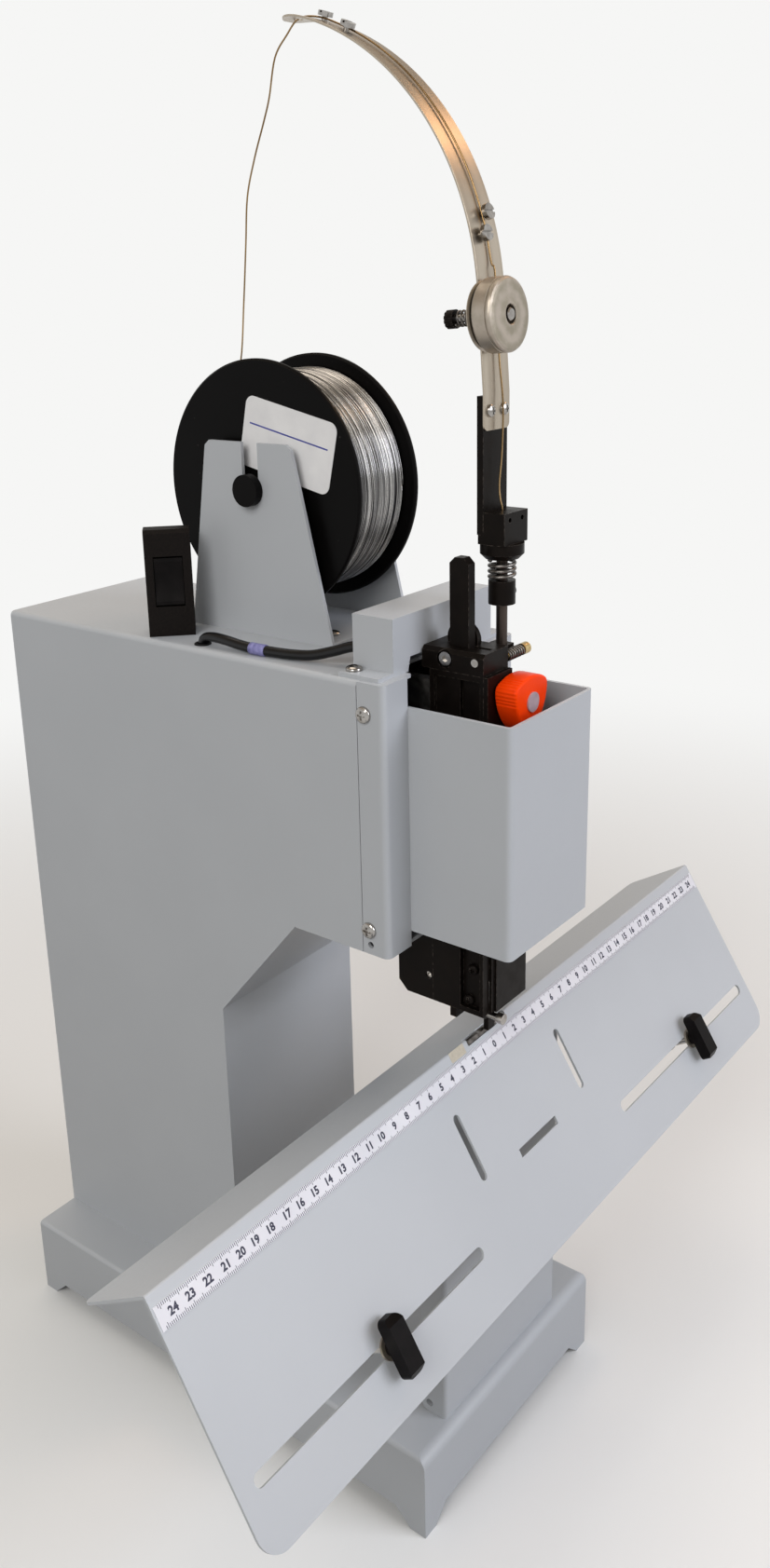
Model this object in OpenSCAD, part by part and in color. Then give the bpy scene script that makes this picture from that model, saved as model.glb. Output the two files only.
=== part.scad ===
// Electric wire stitcher for stitching booklets through the fold.
// A C-shaped sheet-steel body stands on a tray base. A stitching head hangs at the front of its arm,
// over a ridge-shaped table. A wire spool, a feed arm and a tension unit stand on top.
// Millimetres. X runs to the operator's right, Y to the rear and Z up from the floor.

/* [Base tray] */
// Width of the base, side to side
base_w = 175.2; // [160:0.2:200]
// Depth of the base, front to rear
base_d = 319; // [285:1:350]
// Height of the base's top above the floor
base_h = 52.6; // [44:0.2:64]
// Outside radius of the bend along the base's front edge
base_bend = 6; // [5:0.5:12]
// Outside radius of the bends along the base's two sides
base_side_bend = 2.5; // [2.5:0.5:12]
// Height of the skirt's lower edge above the floor
leg_h = 10; // [6:0.5:16]
// Length of a corner leg along the skirt
leg_w = 10; // [8:0.5:16]
// Length of the slope beside a corner leg
leg_slope = 10.5; // [6:0.5:14]
// Thickness of the folded sheet
sheet = 2; // [1.6:0.1:2.4]

/* [Body] */
// Width of the body, side to side
body_w = 116; // [112:1:126]
// Height of the body's top above the floor
body_top = 471; // [462:1:484]
// Outside radius of the bends along the body's two top edges
body_bend = 3; // [2.5:0.5:8]
// Depth of the column, from the throat plate to the rear
column_d = 158.8; // [152:0.2:162]
// Length of the arm, from the throat plate to its front seam
arm_len = 104.7; // [101:0.1:108]
// Height of the arm's underside above the floor
arm_under = 326.4; // [318:0.2:332]
// Height at which the throat plate starts to slant
throat_fold_z = 256.6; // [244:0.2:264]
// How far forward the slanted panel runs
slant_run = 58.4; // [50:0.2:66]

/* [Head frame and cover] */
// Depth of the head frame in front of the arm
frame_d = 16.5; // [15:0.5:18]
// Outside width across the frame's forward lips, which is the cover's width
lip_w = 77.2; // [72:0.2:84]
// Length of the forward lips
lip_len = 9.9; // [8:0.1:13]
// Outside radius of the frame's and cover's upright bends
frame_bend = 3.5; // [2.5:0.5:8]
// Gap of the seam between the frame and the body
seam = 0.4; // [0.2:0.1:0.8]
// Width of the gap in the frame's top that the head stands in
frame_gap = 66; // [60:1:72]
// Depth of the cover in front of the lips
cover_d = 49.2; // [46:0.2:56]
// Height of the cover
cover_h = 120.5; // [100:0.5:124]
// Height of the cover's lower edge above the arm's underside
cover_rise = 8.6; // [5:0.2:12]

/* [Stitching head] */
// Width of the head
head_w = 40; // [38:0.5:44]
// Depth of the head in front of the frame
head_d = 31.5; // [30:0.5:34]
// How far the head hangs below the arm's underside
head_drop = 40.4; // [34:0.2:44]
// Thickness of the head's side walls
head_wall = 6; // [5:0.5:6.5]
// Thickness of the head's rear wall
head_back = 7.5; // [6:0.5:8]
// Thickness of the head's front plate
front_t = 2.5; // [2:0.5:3]
// Height of the cap on the head
cap_h = 11; // [10:0.5:14]
// Distance from the frame's front to the stitching line
stitch_out = 19.6; // [19:0.1:20.4]
// Free height between the head and the table's ridge
stitch_gap = 18; // [16:0.5:22]
// Stroke of the ram
ram_stroke = 36; // [32:0.5:37]
// Thickness of the ram bar
ram_t = 5.5; // [4:0.5:5.5]
// Depth of the ram bar
ram_d = 11; // [9:0.5:11]
// How far the ram bar stands above the body's top
ram_up = 55.5; // [50:0.5:62]
// Distance of the presser's pin to the left of the stitching line
presser_x = 10; // [9.8:0.1:11]
// Diameter of the presser's pin
presser_pin_d = 4; // [3:0.2:4]
// Distance from the orange knob's centre to its corners
knob_r = 17.6; // [15:0.2:19]
// Depth of the orange knob
knob_d = 12.4; // [10:0.2:15]
// Depth of the knob's centre below the body's top
knob_drop = 14.6; // [12:0.2:18]
// Diameter of the knob's shaft
knob_shaft_d = 8; // [6:0.5:9]

/* [Front post and table] */
// Distance from the base's front to the post's front
post_in = 6.5; // [4:0.5:20]
// Distance from the stitching line to the post's front
post_out = 12.9; // [12:0.1:14]
// Outside radius of the post's upright bends
post_bend = 2.5; // [2.5:0.5:6]
// Depth of the post's side flanges
post_d = 16; // [14:0.5:20]
// Length of the table, side to side
table_l = 498.8; // [440:0.2:560]
// Thickness of the table's plate
table_t = 1.5; // [1.2:0.1:2]
// Slope of the table's front plate below the horizontal
table_tilt = 58; // [55:0.5:61]
// Length of the front plate down its slope
table_front = 117; // [110:0.5:130]
// Length of the rear flap down its slope
table_rear = 47.5; // [40:0.5:56]
// Radius of the front plate's lower corners
table_r = 12; // [6:0.5:16]
// Radius of the rear flap's corners
flap_r = 4; // [2:0.5:8]
// Width of the ruler strip
ruler_w = 10.5; // [8:0.5:12]
// Distance from the ridge to the ruler strip
ruler_s = 6; // [5:0.5:10]
// Width of the clincher block
clinch_w = 35; // [30:0.5:40]

/* [Table stops] */
// Distance of the long slots from the ridge
stop_s = 88; // [84:0.5:92]
// Width of the long slots
slot_w = 6.5; // [6:0.1:7.5]
// Distance from the middle to the long slots' inner ends
slot_in = 73; // [64:1:80]
// Distance from the middle to the long slots' outer ends
slot_out = 240; // [225:1:244]
// Place of the left stop, from the middle
stop_left_x = 150; // [100:1:210]
// Place of the right stop, from the middle
stop_right_x = 164; // [100:1:210]
// Diameter of the stops' bolts
stop_bolt_d = 5; // [4:0.5:5.5]
// Length of bolt behind the table
stop_bolt_l = 18; // [16:0.5:24]
// Length of a stop's T-handle
handle_l = 28.5; // [24:0.5:40]
// Width and height of a stop's T-handle
handle_w = 10; // [8:0.5:15]

/* [Spool and bracket] */
// Offset of the spool's middle to the right
spool_x = 15.5; // [14:0.5:18]
// Radius of the spool's flanges
spool_r = 67; // [63:0.5:70]
// Width of the spool over its flanges
spool_w = 51.4; // [46:0.2:56]
// Thickness of a spool flange
flange_t = 3.4; // [2.4:0.2:4]
// Radius of the spool's barrel
barrel_r = 32; // [26:0.5:38]
// Radius of the wire winding
wound_r = 60; // [54:0.5:62]
// Diameter of the spool's axle
axle_d = 11; // [9:0.5:12]
// Height of the axle above the body's top
axle_up = 79; // [76:0.5:84]
// Distance of the axle in front of the throat plate
axle_out = 5.2; // [0:0.1:10]
// How far the bracket's foot runs in front of the axle
bracket_fore = 53; // [48:0.5:60]
// How far the bracket's foot runs behind the axle
bracket_aft = 49.5; // [42:0.5:56]
// Free width beside the spool in its bracket
spool_side = 5.6; // [4:0.2:7]

/* [Feed arm and guide strip] */
// Offset of the feed arm to the right
arm_x = 10; // [9.5:0.1:10.5]
// Diameter of the feed tube
tube_d = 5.6; // [5:0.1:5.6]
// Height of the clamp sleeve's foot above the body's top
sleeve_up = 29.6; // [27:0.2:32]
// Diameter of the clamp sleeve
sleeve_d = 13.4; // [12:0.2:15]
// Diameter of the arm's collar
collar_d = 21.7; // [19:0.1:23]
// Width of the guide strip
strip_w = 22; // [20:0.5:24]
// Thickness of the guide strip
strip_t = 1; // [0.6:0.1:1.2]
// Radius of the guide strip's curve
strip_r = 142; // [130:1:150]
// Length of the strip between its foot's bend and its curve
strip_up = 46; // [42:0.5:50]
// Lean of the strip where the curve starts
strip_lean = 4; // [3:0.5:5]
// Lean of the strip at its tip
strip_end = 80; // [74:1:82]
// Diameter of the tension discs
disc_d = 34; // [30:0.5:38]
// Depth of the tension unit's front disc
disc_l = 11.6; // [9:0.2:13]
// Height of the tension discs above the strip's bend
disc_up = 34.7; // [30:0.1:38]
// Offset of the tension discs to the left of the strip's middle
disc_side = 6.5; // [5:0.5:7]
// Diameter of the tension bolt
disc_bolt_d = 4; // [3:0.5:4.5]
// Diameter of the stitching wire
wire_d = 0.9; // [0.7:0.1:1]

/* [Sensor cover, lead and switch] */
// Length of the sensor cover, side to side
bar_w = 86; // [80:1:88]
// Depth of the sensor cover
bar_d = 24.5; // [22:0.5:28]
// Height of the sensor cover
bar_h = 28.7; // [26:0.1:32]
// Diameter of the sensor's lead
lead_d = 5.5; // [4.5:0.1:6]
// Width of the switch housing
switch_w = 25; // [22:0.5:28]
// Depth of the switch housing
switch_d = 22; // [18:0.5:26]
// Height of the switch housing
switch_h = 58; // [52:0.5:64]

/* [Drive] */
// Height of the drive lever's pivot above the floor
pivot_z = 400; // [396:1:404]
// Distance of the pivot in front of the throat plate
pivot_out = 5.7; // [4:0.1:8]
// Diameter of the pivot shaft
pivot_d = 16; // [12:0.5:18]
// Distance from the pivot to the cam follower
lever_rear = 90; // [88:0.5:92]
// Radius of the cam follower's roller
roller_r = 8; // [6:0.5:8]
// Smallest radius of the cam groove's middle line
cam_r = 30; // [28:0.5:32]
// Width of the gearbox
gearbox_w = 68; // [60:1:72]
// Diameter of the motor
motor_d = 58; // [50:1:62]
// Length of the motor
motor_l = 140; // [110:1:150]
// Depth of the control board
board_d = 85; // [70:1:95]
// Height of the control board
board_h = 120; // [90:1:140]

/* [Fits] */
// Radial clearance of a turning fit
fit = 0.05; // [0.02:0.01:0.08]
// Clearance beside a sliding block
slide_fit = 0.2; // [0.15:0.05:0.3]
// Clearance between other moving pieces
gap = 0.3; // [0.25:0.05:0.4]

/* [Hidden] */
$fn = 48;

// Colours, as the photograph shows them
coat = "#b4b7ba";
black_steel = "#26262a";
black_plastic = "#161618";
bright = "#c9ccd0";
zinc = "#a9acae";
brass = "#c9a85a";
orange = "#f04a12";
white = "#eeeeea";
dark_grey = "#55585c";

// Body
bx = body_w / 2;
in_x = bx - sheet;
post_front = -base_d / 2 + post_in;
stitch_y = post_front + post_out;
frame_front = stitch_y + stitch_out;
arm_front = frame_front + frame_d;
column_front = arm_front + arm_len;
column_rear = column_front + column_d;
lip_front = frame_front - lip_len;
cover_front = lip_front - cover_d;
cover_low = arm_under + cover_rise;
tongue_t = 3;
tongue_out = frame_d - frame_bend - gap;
tongue_in = 12;

// Head
hx = head_w / 2;
head_y = frame_front - head_d;
head_low = arm_under - head_drop;
channel_x = hx - head_wall;
channel_y = frame_front - head_back;
cap_top = body_top + cap_h;
cap_right = 2;
ram_x = -channel_x + slide_fit;
ram_y = channel_y - 0.5;
ram_top = body_top + ram_up;
knob_z = body_top - knob_drop;
knob_back = head_y - front_t - gap;
shoulder_z = knob_z + knob_shaft_d / 2 + 1.5;
presser_z = head_low - 3.4;

// Drive lever and cam, at the top of the stroke
pivot_y = column_front - pivot_out;
lever_front = pivot_y - stitch_y - 1;
lever_half = asin(ram_stroke / 2 / lever_front);
pin_z = pivot_z + ram_stroke / 2;
pin_y = pivot_y - lever_front * cos(lever_half);
pin_d = 8;
cam_rise = 2 * lever_rear * sin(lever_half);
cam_y = pivot_y + lever_rear * (1 + cos(lever_half)) / 2;
cam_z = pivot_z - lever_rear * sin(lever_half) - cam_r;
groove_half = roller_r + 2 * gap;
cam_rim = cam_r + cam_rise + groove_half + 5;
cam_x = -6.5;
cam_t = 14;
groove_depth = 8;
shaft_d = 14;
slide_half = 26;

// Table and post
ridge_z = head_low - stitch_gap;
notch = 3.8;

// Stops
knob_foot = 1.35;
handle_z = 4.5;
handle_bevel = 3;

// Spool
axle_y = column_front - axle_out;
axle_z = body_top + axle_up;
bracket_x = spool_w / 2 + spool_side;
slot_r = axle_d / 2 + 0.15;
winding_w = spool_w - 2 * flange_t - 1.2;
loops = 20;
loop_wire = 1.5;
loop_pitch = winding_w / (loops + 1);

// Feed arm and guide strip
arm_y = stitch_y - 3.1;
sleeve_z = body_top + sleeve_up;
sleeve_h = 11.8;
spring_z = sleeve_z + sleeve_h;
spring_h = 10.9;
collar_z = spring_z + spring_h;
collar_h = 7.7;
block_z = collar_z + collar_h;
block_h = 15.5;
upright_y = arm_y + 4.2;
upright_t = 3.5;
upright_w = strip_w - 1;
upright_z = block_z + 4.5;
upright_h = 65.5;
strip_foot = upright_z + upright_h - 16.2;
bend_z = upright_z + upright_h + 1;
curve_z = bend_z + strip_up;
strip_y = upright_y - strip_t / 2;
curve_y = strip_y + strip_up * tan(strip_lean);
centre_y = curve_y + strip_r * cos(strip_lean);
centre_z = curve_z - strip_r * sin(strip_lean);
tip_y = centre_y - strip_r * cos(strip_end);
disc_x = arm_x - disc_side;
disc_z = bend_z + disc_up;
disc_y = strip_y + disc_up * tan(strip_lean);
disc_gap = 0.7;
disc_seat = strip_t / 2 + 0.05;
disc_mid = disc_seat + 1 + disc_gap;
nut_z = -20;

// Sensor cover and switch
bar_front = frame_front + 5;
bar_rear = bar_front + bar_d;
bar_foot = 12;
switch_lean = 3.5;
rocker_w = 15.4;
rocker_l = 25.6;
rocker_t = 6;

// Screws
pan_d = 8.5;
pan_h = 2.6;
shank_d = 4;
small_d = 6;

// The frame's origin lies on the floor under the middle of the whole part
handle_end = stop_s + handle_l / 2;
handle_top = handle_z + handle_w - 2.5;
front_y = min(
  stitch_y - cos(table_tilt) * table_front,
  stitch_y - cos(table_tilt) * handle_end - sin(table_tilt) * (handle_top - handle_bevel),
  stitch_y - cos(table_tilt) * (handle_end - handle_bevel) - sin(table_tilt) * handle_top);
rear_y = max(column_rear + pan_h, base_d / 2);
shift_y = -(front_y + rear_y) / 2;

// Shared shapes

// A slab between two X planes, drawn in Y and Z
module yz_slab(x0, x1) {
  translate([x0, 0, 0]) rotate([90, 0, 90]) linear_extrude(x1 - x0) children();
}

// A slab between two Y planes, drawn in X and Z
module xz_slab(y0, y1) {
  translate([0, y1, 0]) rotate([90, 0, 0]) linear_extrude(y1 - y0) children();
}

// A box between two corners
module box(a, b) {
  translate(a) cube(b - a);
}

// A rectangle on the X axis with its two upper corners rounded
module arched(w, h, r) {
  translate([-w / 2, 0]) square([w, h - r]);
  translate([-w / 2 + r, 0]) square([w - 2 * r, h]);
  for (side = [-1, 1]) translate([side * (w / 2 - r), h - r]) circle(r);
}

// A plan from y0 to y1 with its two front corners rounded
module front_round(w, y0, y1, r) {
  translate([0, y1]) rotate(180) arched(w, y1 - y0, r);
}

// A slot along X with round ends
module slot(x0, x1, w) {
  translate([x0 + w / 2, -w / 2]) square([x1 - x0 - w, w]);
  for (x = [x0 + w / 2, x1 - w / 2]) translate([x, 0]) circle(w / 2);
}

// A round bar along X, Y or Z from a point
module bar_x(p, d, l) { translate(p) rotate([0, 90, 0]) cylinder(d = d, h = l); }
module bar_y(p, d, l) { translate(p) rotate([-90, 0, 0]) cylinder(d = d, h = l); }
module bar_z(p, d, l) { translate(p) cylinder(d = d, h = l); }

// A pan-head screw whose head sits on z = 0
module pan_screw(head_d, head_h, body_d, body_l) {
  difference() {
    rotate_extrude() polygon(concat([[0, 0], [head_d / 2, 0]],
      [for (a = [0:15:75]) [head_d / 2 * cos(a), head_h * (0.35 + 0.65 * sin(a))]],
      [[0, head_h]]));
    for (turn = [0, 90]) rotate(turn)
      translate([-head_d * 0.28, -head_d * 0.07, head_h - 1]) cube([head_d * 0.56, head_d * 0.14, 2]);
  }
  translate([0, 0, -body_l]) cylinder(d = body_d, h = body_l + 0.5);
}

// The table's frame: local y runs up the front plate and local z out of it, from the ridge
module on_table() {
  translate([0, stitch_y, ridge_z]) rotate([table_tilt, 0, 0]) children();
}

// The room under the table's two plates
module under_table() {
  on_table() translate([-300, -400, -400]) cube([600, 400 - table_t, 400 - table_t]);
}

// The tension unit's frame: local z runs out of the strip's front face
module on_tension() {
  translate([disc_x, disc_y, disc_z]) rotate([90 - strip_lean, 0, 0]) children();
}

// The switch's frame: local x runs along its face and local y away from it
module on_switch() {
  translate([-46, column_front + 32.3, body_top]) rotate(-45) children();
}

// Tubes that follow a path
function unit(v) = v / norm(v);
function along(p, i) = unit(p[min(i + 1, len(p) - 1)] - p[max(i - 1, 0)]);
function ring(c, u, v, r, n) = [for (k = [0:n - 1]) c + r * (cos(360 * k / n) * u + sin(360 * k / n) * v)];
function quad(a, b, c, d) = [[a, b, c], [a, c, d]];

// Closed skin over rings of n points each
module skin(rings, n) {
  m = len(rings);
  sides = [for (i = [0:m - 2], k = [0:n - 1])
    each quad(i * n + k, (i + 1) * n + k, (i + 1) * n + (k + 1) % n, i * n + (k + 1) % n)];
  first = [[for (k = [0:n - 1]) k]];
  last = [[for (k = [n - 1:-1:0]) (m - 1) * n + k]];
  polyhedron([for (r = rings) each r], concat(sides, first, last));
}

// A round tube through a path that never runs along X
module tube(path, d, n) {
  rings = [for (i = [0:len(path) - 1])
    let (t = along(path, i), u = unit(cross(t, [1, 0, 0])), v = cross(t, u)) ring(path[i], u, v, d / 2, n)];
  skin(rings, n);
}

// A helical tube about Z, starting at z = 0
module helix(r, d, pitch, turns, per_turn, n) {
  count = round(turns * per_turn);
  rings = [for (i = [0:count])
    let (a = 360 * i / per_turn, c = [r * cos(a), r * sin(a), pitch * i / per_turn])
    ring(c, [cos(a), sin(a), 0], [0, 0, 1], d / 2, n)];
  skin(rings, n);
}

// A smooth curve through hand-set points, with a number of steps between two points
function blend(p0, p1, p2, p3, t) = 0.5 * (2 * p1 + (p2 - p0) * t
  + (2 * p0 - 5 * p1 + 4 * p2 - p3) * t * t + (3 * p1 - p0 - 3 * p2 + p3) * t * t * t);
function smooth(p, steps) = concat(
  [for (i = [0:len(p) - 2], s = [0:steps - 1])
    blend(p[max(i - 1, 0)], p[i], p[i + 1], p[min(i + 2, len(p) - 1)], s / steps)],
  [p[len(p) - 1]]);

// Base and body

module base_tray() color(coat) difference() {
  intersection() {
    xz_slab(-base_d / 2, base_d / 2) arched(base_w, base_h, base_side_bend);
    yz_slab(-base_w / 2, base_w / 2) tray_side(0);
  }
  intersection() {
    xz_slab(-base_d / 2 + sheet, base_d / 2 - sheet)
      translate([0, -1]) arched(base_w - 2 * sheet, base_h - sheet + 1, base_side_bend - sheet);
    translate([0, 0, -1]) yz_slab(-base_w / 2, base_w / 2) tray_side(sheet);
  }
  yz_slab(-base_w, base_w) skirt_cut(base_d);
  xz_slab(-base_d, base_d) skirt_cut(base_w);
}

// Side view of the tray, rounded at its front edge only
module tray_side(inset) {
  r = base_bend - inset;
  h = base_h - inset + (inset > 0 ? 1 : 0);
  y0 = -base_d / 2 + inset;
  y1 = base_d / 2 - inset;
  translate([y0, 0]) square([y1 - y0, h - r]);
  translate([y0 + r, 0]) square([y1 - y0 - r, h]);
  translate([y0 + r, h - r]) circle(r);
}

// The cut between two legs, which leaves a slope beside each
module skirt_cut(l) {
  a = l / 2 - leg_w;
  b = a - leg_slope;
  polygon([[-a, -1], [a, -1], [a, 0], [b, leg_h], [-b, leg_h], [-a, 0]]);
}

// The side view of the throat, cut from the body's sides
module throat_shape() {
  polygon([[arm_front - 40, base_h - 1], [column_front, base_h - 1], [column_front, throat_fold_z],
    [column_front - slant_run, arm_under], [arm_front - 40, arm_under]]);
}

module body_shell() color(coat) difference() {
  union() {
    difference() {
      xz_slab(arm_front, column_rear) translate([0, base_h]) arched(body_w, body_top - base_h, body_bend);
      xz_slab(arm_front - 1, column_rear + 1) translate([0, base_h - 1])
        arched(2 * in_x, body_top - base_h - sheet + 1, body_bend - sheet);
    }
    for (side = [-1, 1]) {
      // Tongue behind the head frame's cheek
      translate([side * (in_x - tongue_t / 2), arm_front + (tongue_in - tongue_out) / 2, (arm_under + body_top) / 2])
        cube([tongue_t, tongue_in + tongue_out, body_top - arm_under - 14], center = true);
      // Flange behind the rear cover
      translate([side * (in_x - 6), column_rear - 1.5 * sheet, (base_h + body_top) / 2])
        cube([12, sheet, body_top - base_h - 2 * sheet], center = true);
    }
  }
  yz_slab(-base_w, base_w) throat_shape();
  bar_z([lead_start.x, lead_start.y, body_top - 10], lead_d + 1, 20);
  screw_holes();
}

module throat_plate() color(coat) yz_slab(-in_x, in_x) {
  run = unit([-slant_run, arm_under - throat_fold_z]);
  n = [run.y, -run.x];
  polygon([[column_front, base_h], [column_front, throat_fold_z],
    [column_front - slant_run, arm_under], [arm_front, arm_under], [arm_front, arm_under + sheet],
    [column_front - slant_run + sheet * (1 - n.y) / n.x, arm_under + sheet],
    [column_front + sheet, throat_fold_z + sheet * (1 - n.x) / n.y], [column_front + sheet, base_h]]);
}

module rear_cover() color(coat) difference() {
  box([-in_x, column_rear - sheet, base_h], [in_x, column_rear, body_top - sheet]);
  box([-14.2, column_rear - 10, base_h + 31.8], [14.2, column_rear + 10, base_h + 52.2]);
  bar_y([34, column_rear - 10, base_h + 42], 16.4, 20);
  screw_holes();
}

// Mains inlet and pedal socket
module rear_sockets() color(black_plastic) {
  difference() {
    union() {
      box([-14, column_rear - 18, base_h + 32], [14, column_rear, base_h + 52]);
      box([-20, column_rear, base_h + 29], [20, column_rear + 1.5, base_h + 55]);
    }
    box([-12, column_rear - 14, base_h + 34], [12, column_rear + 5, base_h + 50]);
  }
  for (p = [[-6, 40], [0, 44], [6, 40]])
    box([p.x - 1, column_rear - 15, base_h + p.y - 2.5], [p.x + 1, column_rear - 3, base_h + p.y + 2.5]);
  difference() {
    union() {
      bar_y([34, column_rear - 16, base_h + 42], 16, 16);
      bar_y([34, column_rear, base_h + 42], 20, 1.5);
    }
    bar_y([34, column_rear - 12, base_h + 42], 11, 20);
  }
}

// Places of the pan-head screws: a point and the way that the head faces
frame_screw_y = arm_front - 4.5;
side_screws = [for (side = [-1, 1], z = [body_top - 16, arm_under + 13.6]) [side * bx, frame_screw_y, z]];
rear_screws = [for (side = [-1, 1], f = [0.05, 0.5, 0.95])
  [side * (in_x - 6), column_rear, base_h + f * (body_top - base_h - sheet)]];
bracket_screws = [for (side = [-1, 1], y = [-40, 20]) [spool_x + side * 18, axle_y + y, body_top + sheet]];
foot_screws = [for (side = [-1, 1]) [side * (bar_w / 2 + 5.5), bar_rear - 4.8, body_top + sheet]];
clinch_screws = [for (side = [-1, 1]) [side * 9, post_front, ridge_z - 40]];
strip_screws = [for (side = [-1, 1]) [arm_x + side * 6, strip_y - strip_t / 2, strip_foot + 9.2]];

module screws() color(bright) {
  for (p = side_screws) translate(p) rotate([0, p.x > 0 ? 90 : -90, 0]) pan_screw(pan_d, pan_h, shank_d, 6);
  for (p = rear_screws) translate(p) rotate([-90, 0, 0]) pan_screw(pan_d, pan_h, shank_d, 8);
  for (p = bracket_screws) translate(p) pan_screw(pan_d, pan_h, shank_d, 8);
  for (p = foot_screws) translate(p) pan_screw(pan_d, pan_h, shank_d, 8);
  for (p = clinch_screws) translate(p) rotate([90, 0, 0]) pan_screw(pan_d, pan_h, shank_d, 10);
  for (p = strip_screws) translate(p) rotate([90, 0, 0]) pan_screw(small_d, 2, 3, 5);
}

// The screws' holes, drilled through whatever they hold
module screw_holes() {
  for (p = side_screws) translate([p.x - 10, p.y, p.z]) rotate([0, 90, 0]) cylinder(d = shank_d, h = 20);
  for (p = rear_screws) translate([p.x, p.y - 12, p.z]) rotate([-90, 0, 0]) cylinder(d = shank_d, h = 24);
  for (p = bracket_screws) translate([p.x, p.y, p.z - 10]) cylinder(d = shank_d, h = 20);
  for (p = foot_screws) translate([p.x, p.y, p.z - 10]) cylinder(d = shank_d, h = 20);
  for (p = clinch_screws) translate([p.x, p.y - 5, p.z]) rotate([-90, 0, 0]) cylinder(d = shank_d, h = 15);
  for (p = strip_screws) translate([p.x, p.y - 5, p.z]) rotate([-90, 0, 0]) cylinder(d = 3, h = 10);
}

// Head frame and cover

module head_frame() color(coat) difference() {
  union() {
    translate([0, 0, arm_under]) linear_extrude(body_top - arm_under) difference() {
      front_round(body_w, frame_front, arm_front - seam, frame_bend);
      front_round(2 * in_x, frame_front + sheet, arm_front + 1, frame_bend - sheet);
      translate([-lip_w / 2, frame_front - 1]) square([lip_w, sheet + 2]);
    }
    for (side = [-1, 1]) {
      // Forward lip beside the cover
      translate([side * (lip_w - sheet) / 2, (lip_front + frame_front + sheet) / 2, cover_low + cover_h / 2])
        cube([sheet, lip_len + sheet, cover_h], center = true);
      // Top lip beside the head
      translate([side * (frame_gap / 2 + in_x) / 2, (frame_front + arm_front) / 2 + 1, body_top - sheet / 2])
        cube([in_x - frame_gap / 2 + 0.02, frame_d - 2, sheet], center = true);
    }
    // Web across the frame's foot
    box([-in_x - 0.01, frame_front + sheet, arm_under], [in_x + 0.01, arm_front, arm_under + sheet]);
  }
  // Small hole under each lower screw
  bar_x([-bx - 1, arm_front - 5.2, arm_under + 5.3], 3.6, body_w + 2);
  screw_holes();
}

module head_cover() color(coat) {
  translate([0, 0, cover_low]) linear_extrude(cover_h) difference() {
    front_round(lip_w, cover_front, lip_front, frame_bend);
    front_round(lip_w - 2 * sheet, cover_front + sheet, lip_front + 1, frame_bend - sheet);
  }
  // Tabs that slip in behind the frame's lips
  for (side = [-1, 1])
    translate([side * (lip_w / 2 - 1.5 * sheet), (lip_front - 12 + frame_front) / 2, cover_low + cover_h / 2])
      cube([sheet, lip_len + 12, cover_h - 20], center = true);
}

// Front post, table and stops

module front_post() color(coat) difference() {
  intersection() {
    translate([0, 0, base_h]) linear_extrude(ridge_z - base_h) difference() {
      front_round(body_w, post_front, post_front + post_d, post_bend);
      front_round(2 * in_x, post_front + sheet, post_front + post_d + 1, post_bend - sheet);
    }
    under_table();
  }
  bar_x([-bx - 1, post_front + 11, base_h + 6], 4.5, body_w + 2);
  // Rounded rear corner at the foot of each flange
  yz_slab(-bx - 1, bx + 1) translate([post_front + post_d, base_h]) difference() {
    translate([-4, -1]) square([5, 5]);
    translate([-4, 4]) circle(4);
  }
  screw_holes();
}

module table() color(coat) on_table() difference() {
  union() {
    translate([0, 0, -table_t]) linear_extrude(table_t) difference() {
      union() {
        translate([-table_l / 2, -table_front + table_r]) square([table_l, table_front - table_r]);
        translate([-table_l / 2 + table_r, -table_front]) square([table_l - 2 * table_r, table_r]);
        for (side = [-1, 1]) translate([side * (table_l / 2 - table_r), -table_front + table_r]) circle(table_r);
      }
      for (side = [-1, 1]) {
        // Long slot of a stop
        translate([0, -stop_s]) slot(side > 0 ? slot_in : -slot_out, side > 0 ? slot_out : -slot_in, slot_w);
        // Short slot across the ruler's foot
        translate([side * 50, -45]) rotate(90) slot(-18, 18, 5);
      }
      // Rectangular slot in the middle
      translate([-18.5, -68]) square([37, 4.5]);
    }
    rotate([90, 0, 0]) linear_extrude(table_t) {
      translate([-table_l / 2, -table_rear + flap_r]) square([table_l, table_rear - flap_r]);
      translate([-table_l / 2 + flap_r, -table_rear]) square([table_l - 2 * flap_r, flap_r]);
      for (side = [-1, 1]) translate([side * (table_l / 2 - flap_r), -table_rear + flap_r]) circle(flap_r);
    }
  }
  // Opening over the clincher
  translate([-clinch_w / 2 - 1, -notch, -notch]) cube([clinch_w + 2, notch + 1, notch + 1]);
  // Rounded outside of the ridge's bend
  translate([-table_l, 0, 0]) rotate([90, 0, 90]) linear_extrude(2 * table_l) difference() {
    translate([-1.2, -1.2]) square(2.2);
    translate([-1.2, -1.2]) circle(1.2);
  }
}

module ruler() color(white) on_table()
  translate([-table_l / 2 + 1, -ruler_s - ruler_w, 0]) cube([table_l - 2, ruler_w, 0.3]);

// A point in Y and Z, a way up the table's front plate and a way out of it, from the ridge
function off_ridge(up, out) = [stitch_y + cos(table_tilt) * up - sin(table_tilt) * out,
  ridge_z + sin(table_tilt) * up + cos(table_tilt) * out];

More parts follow.
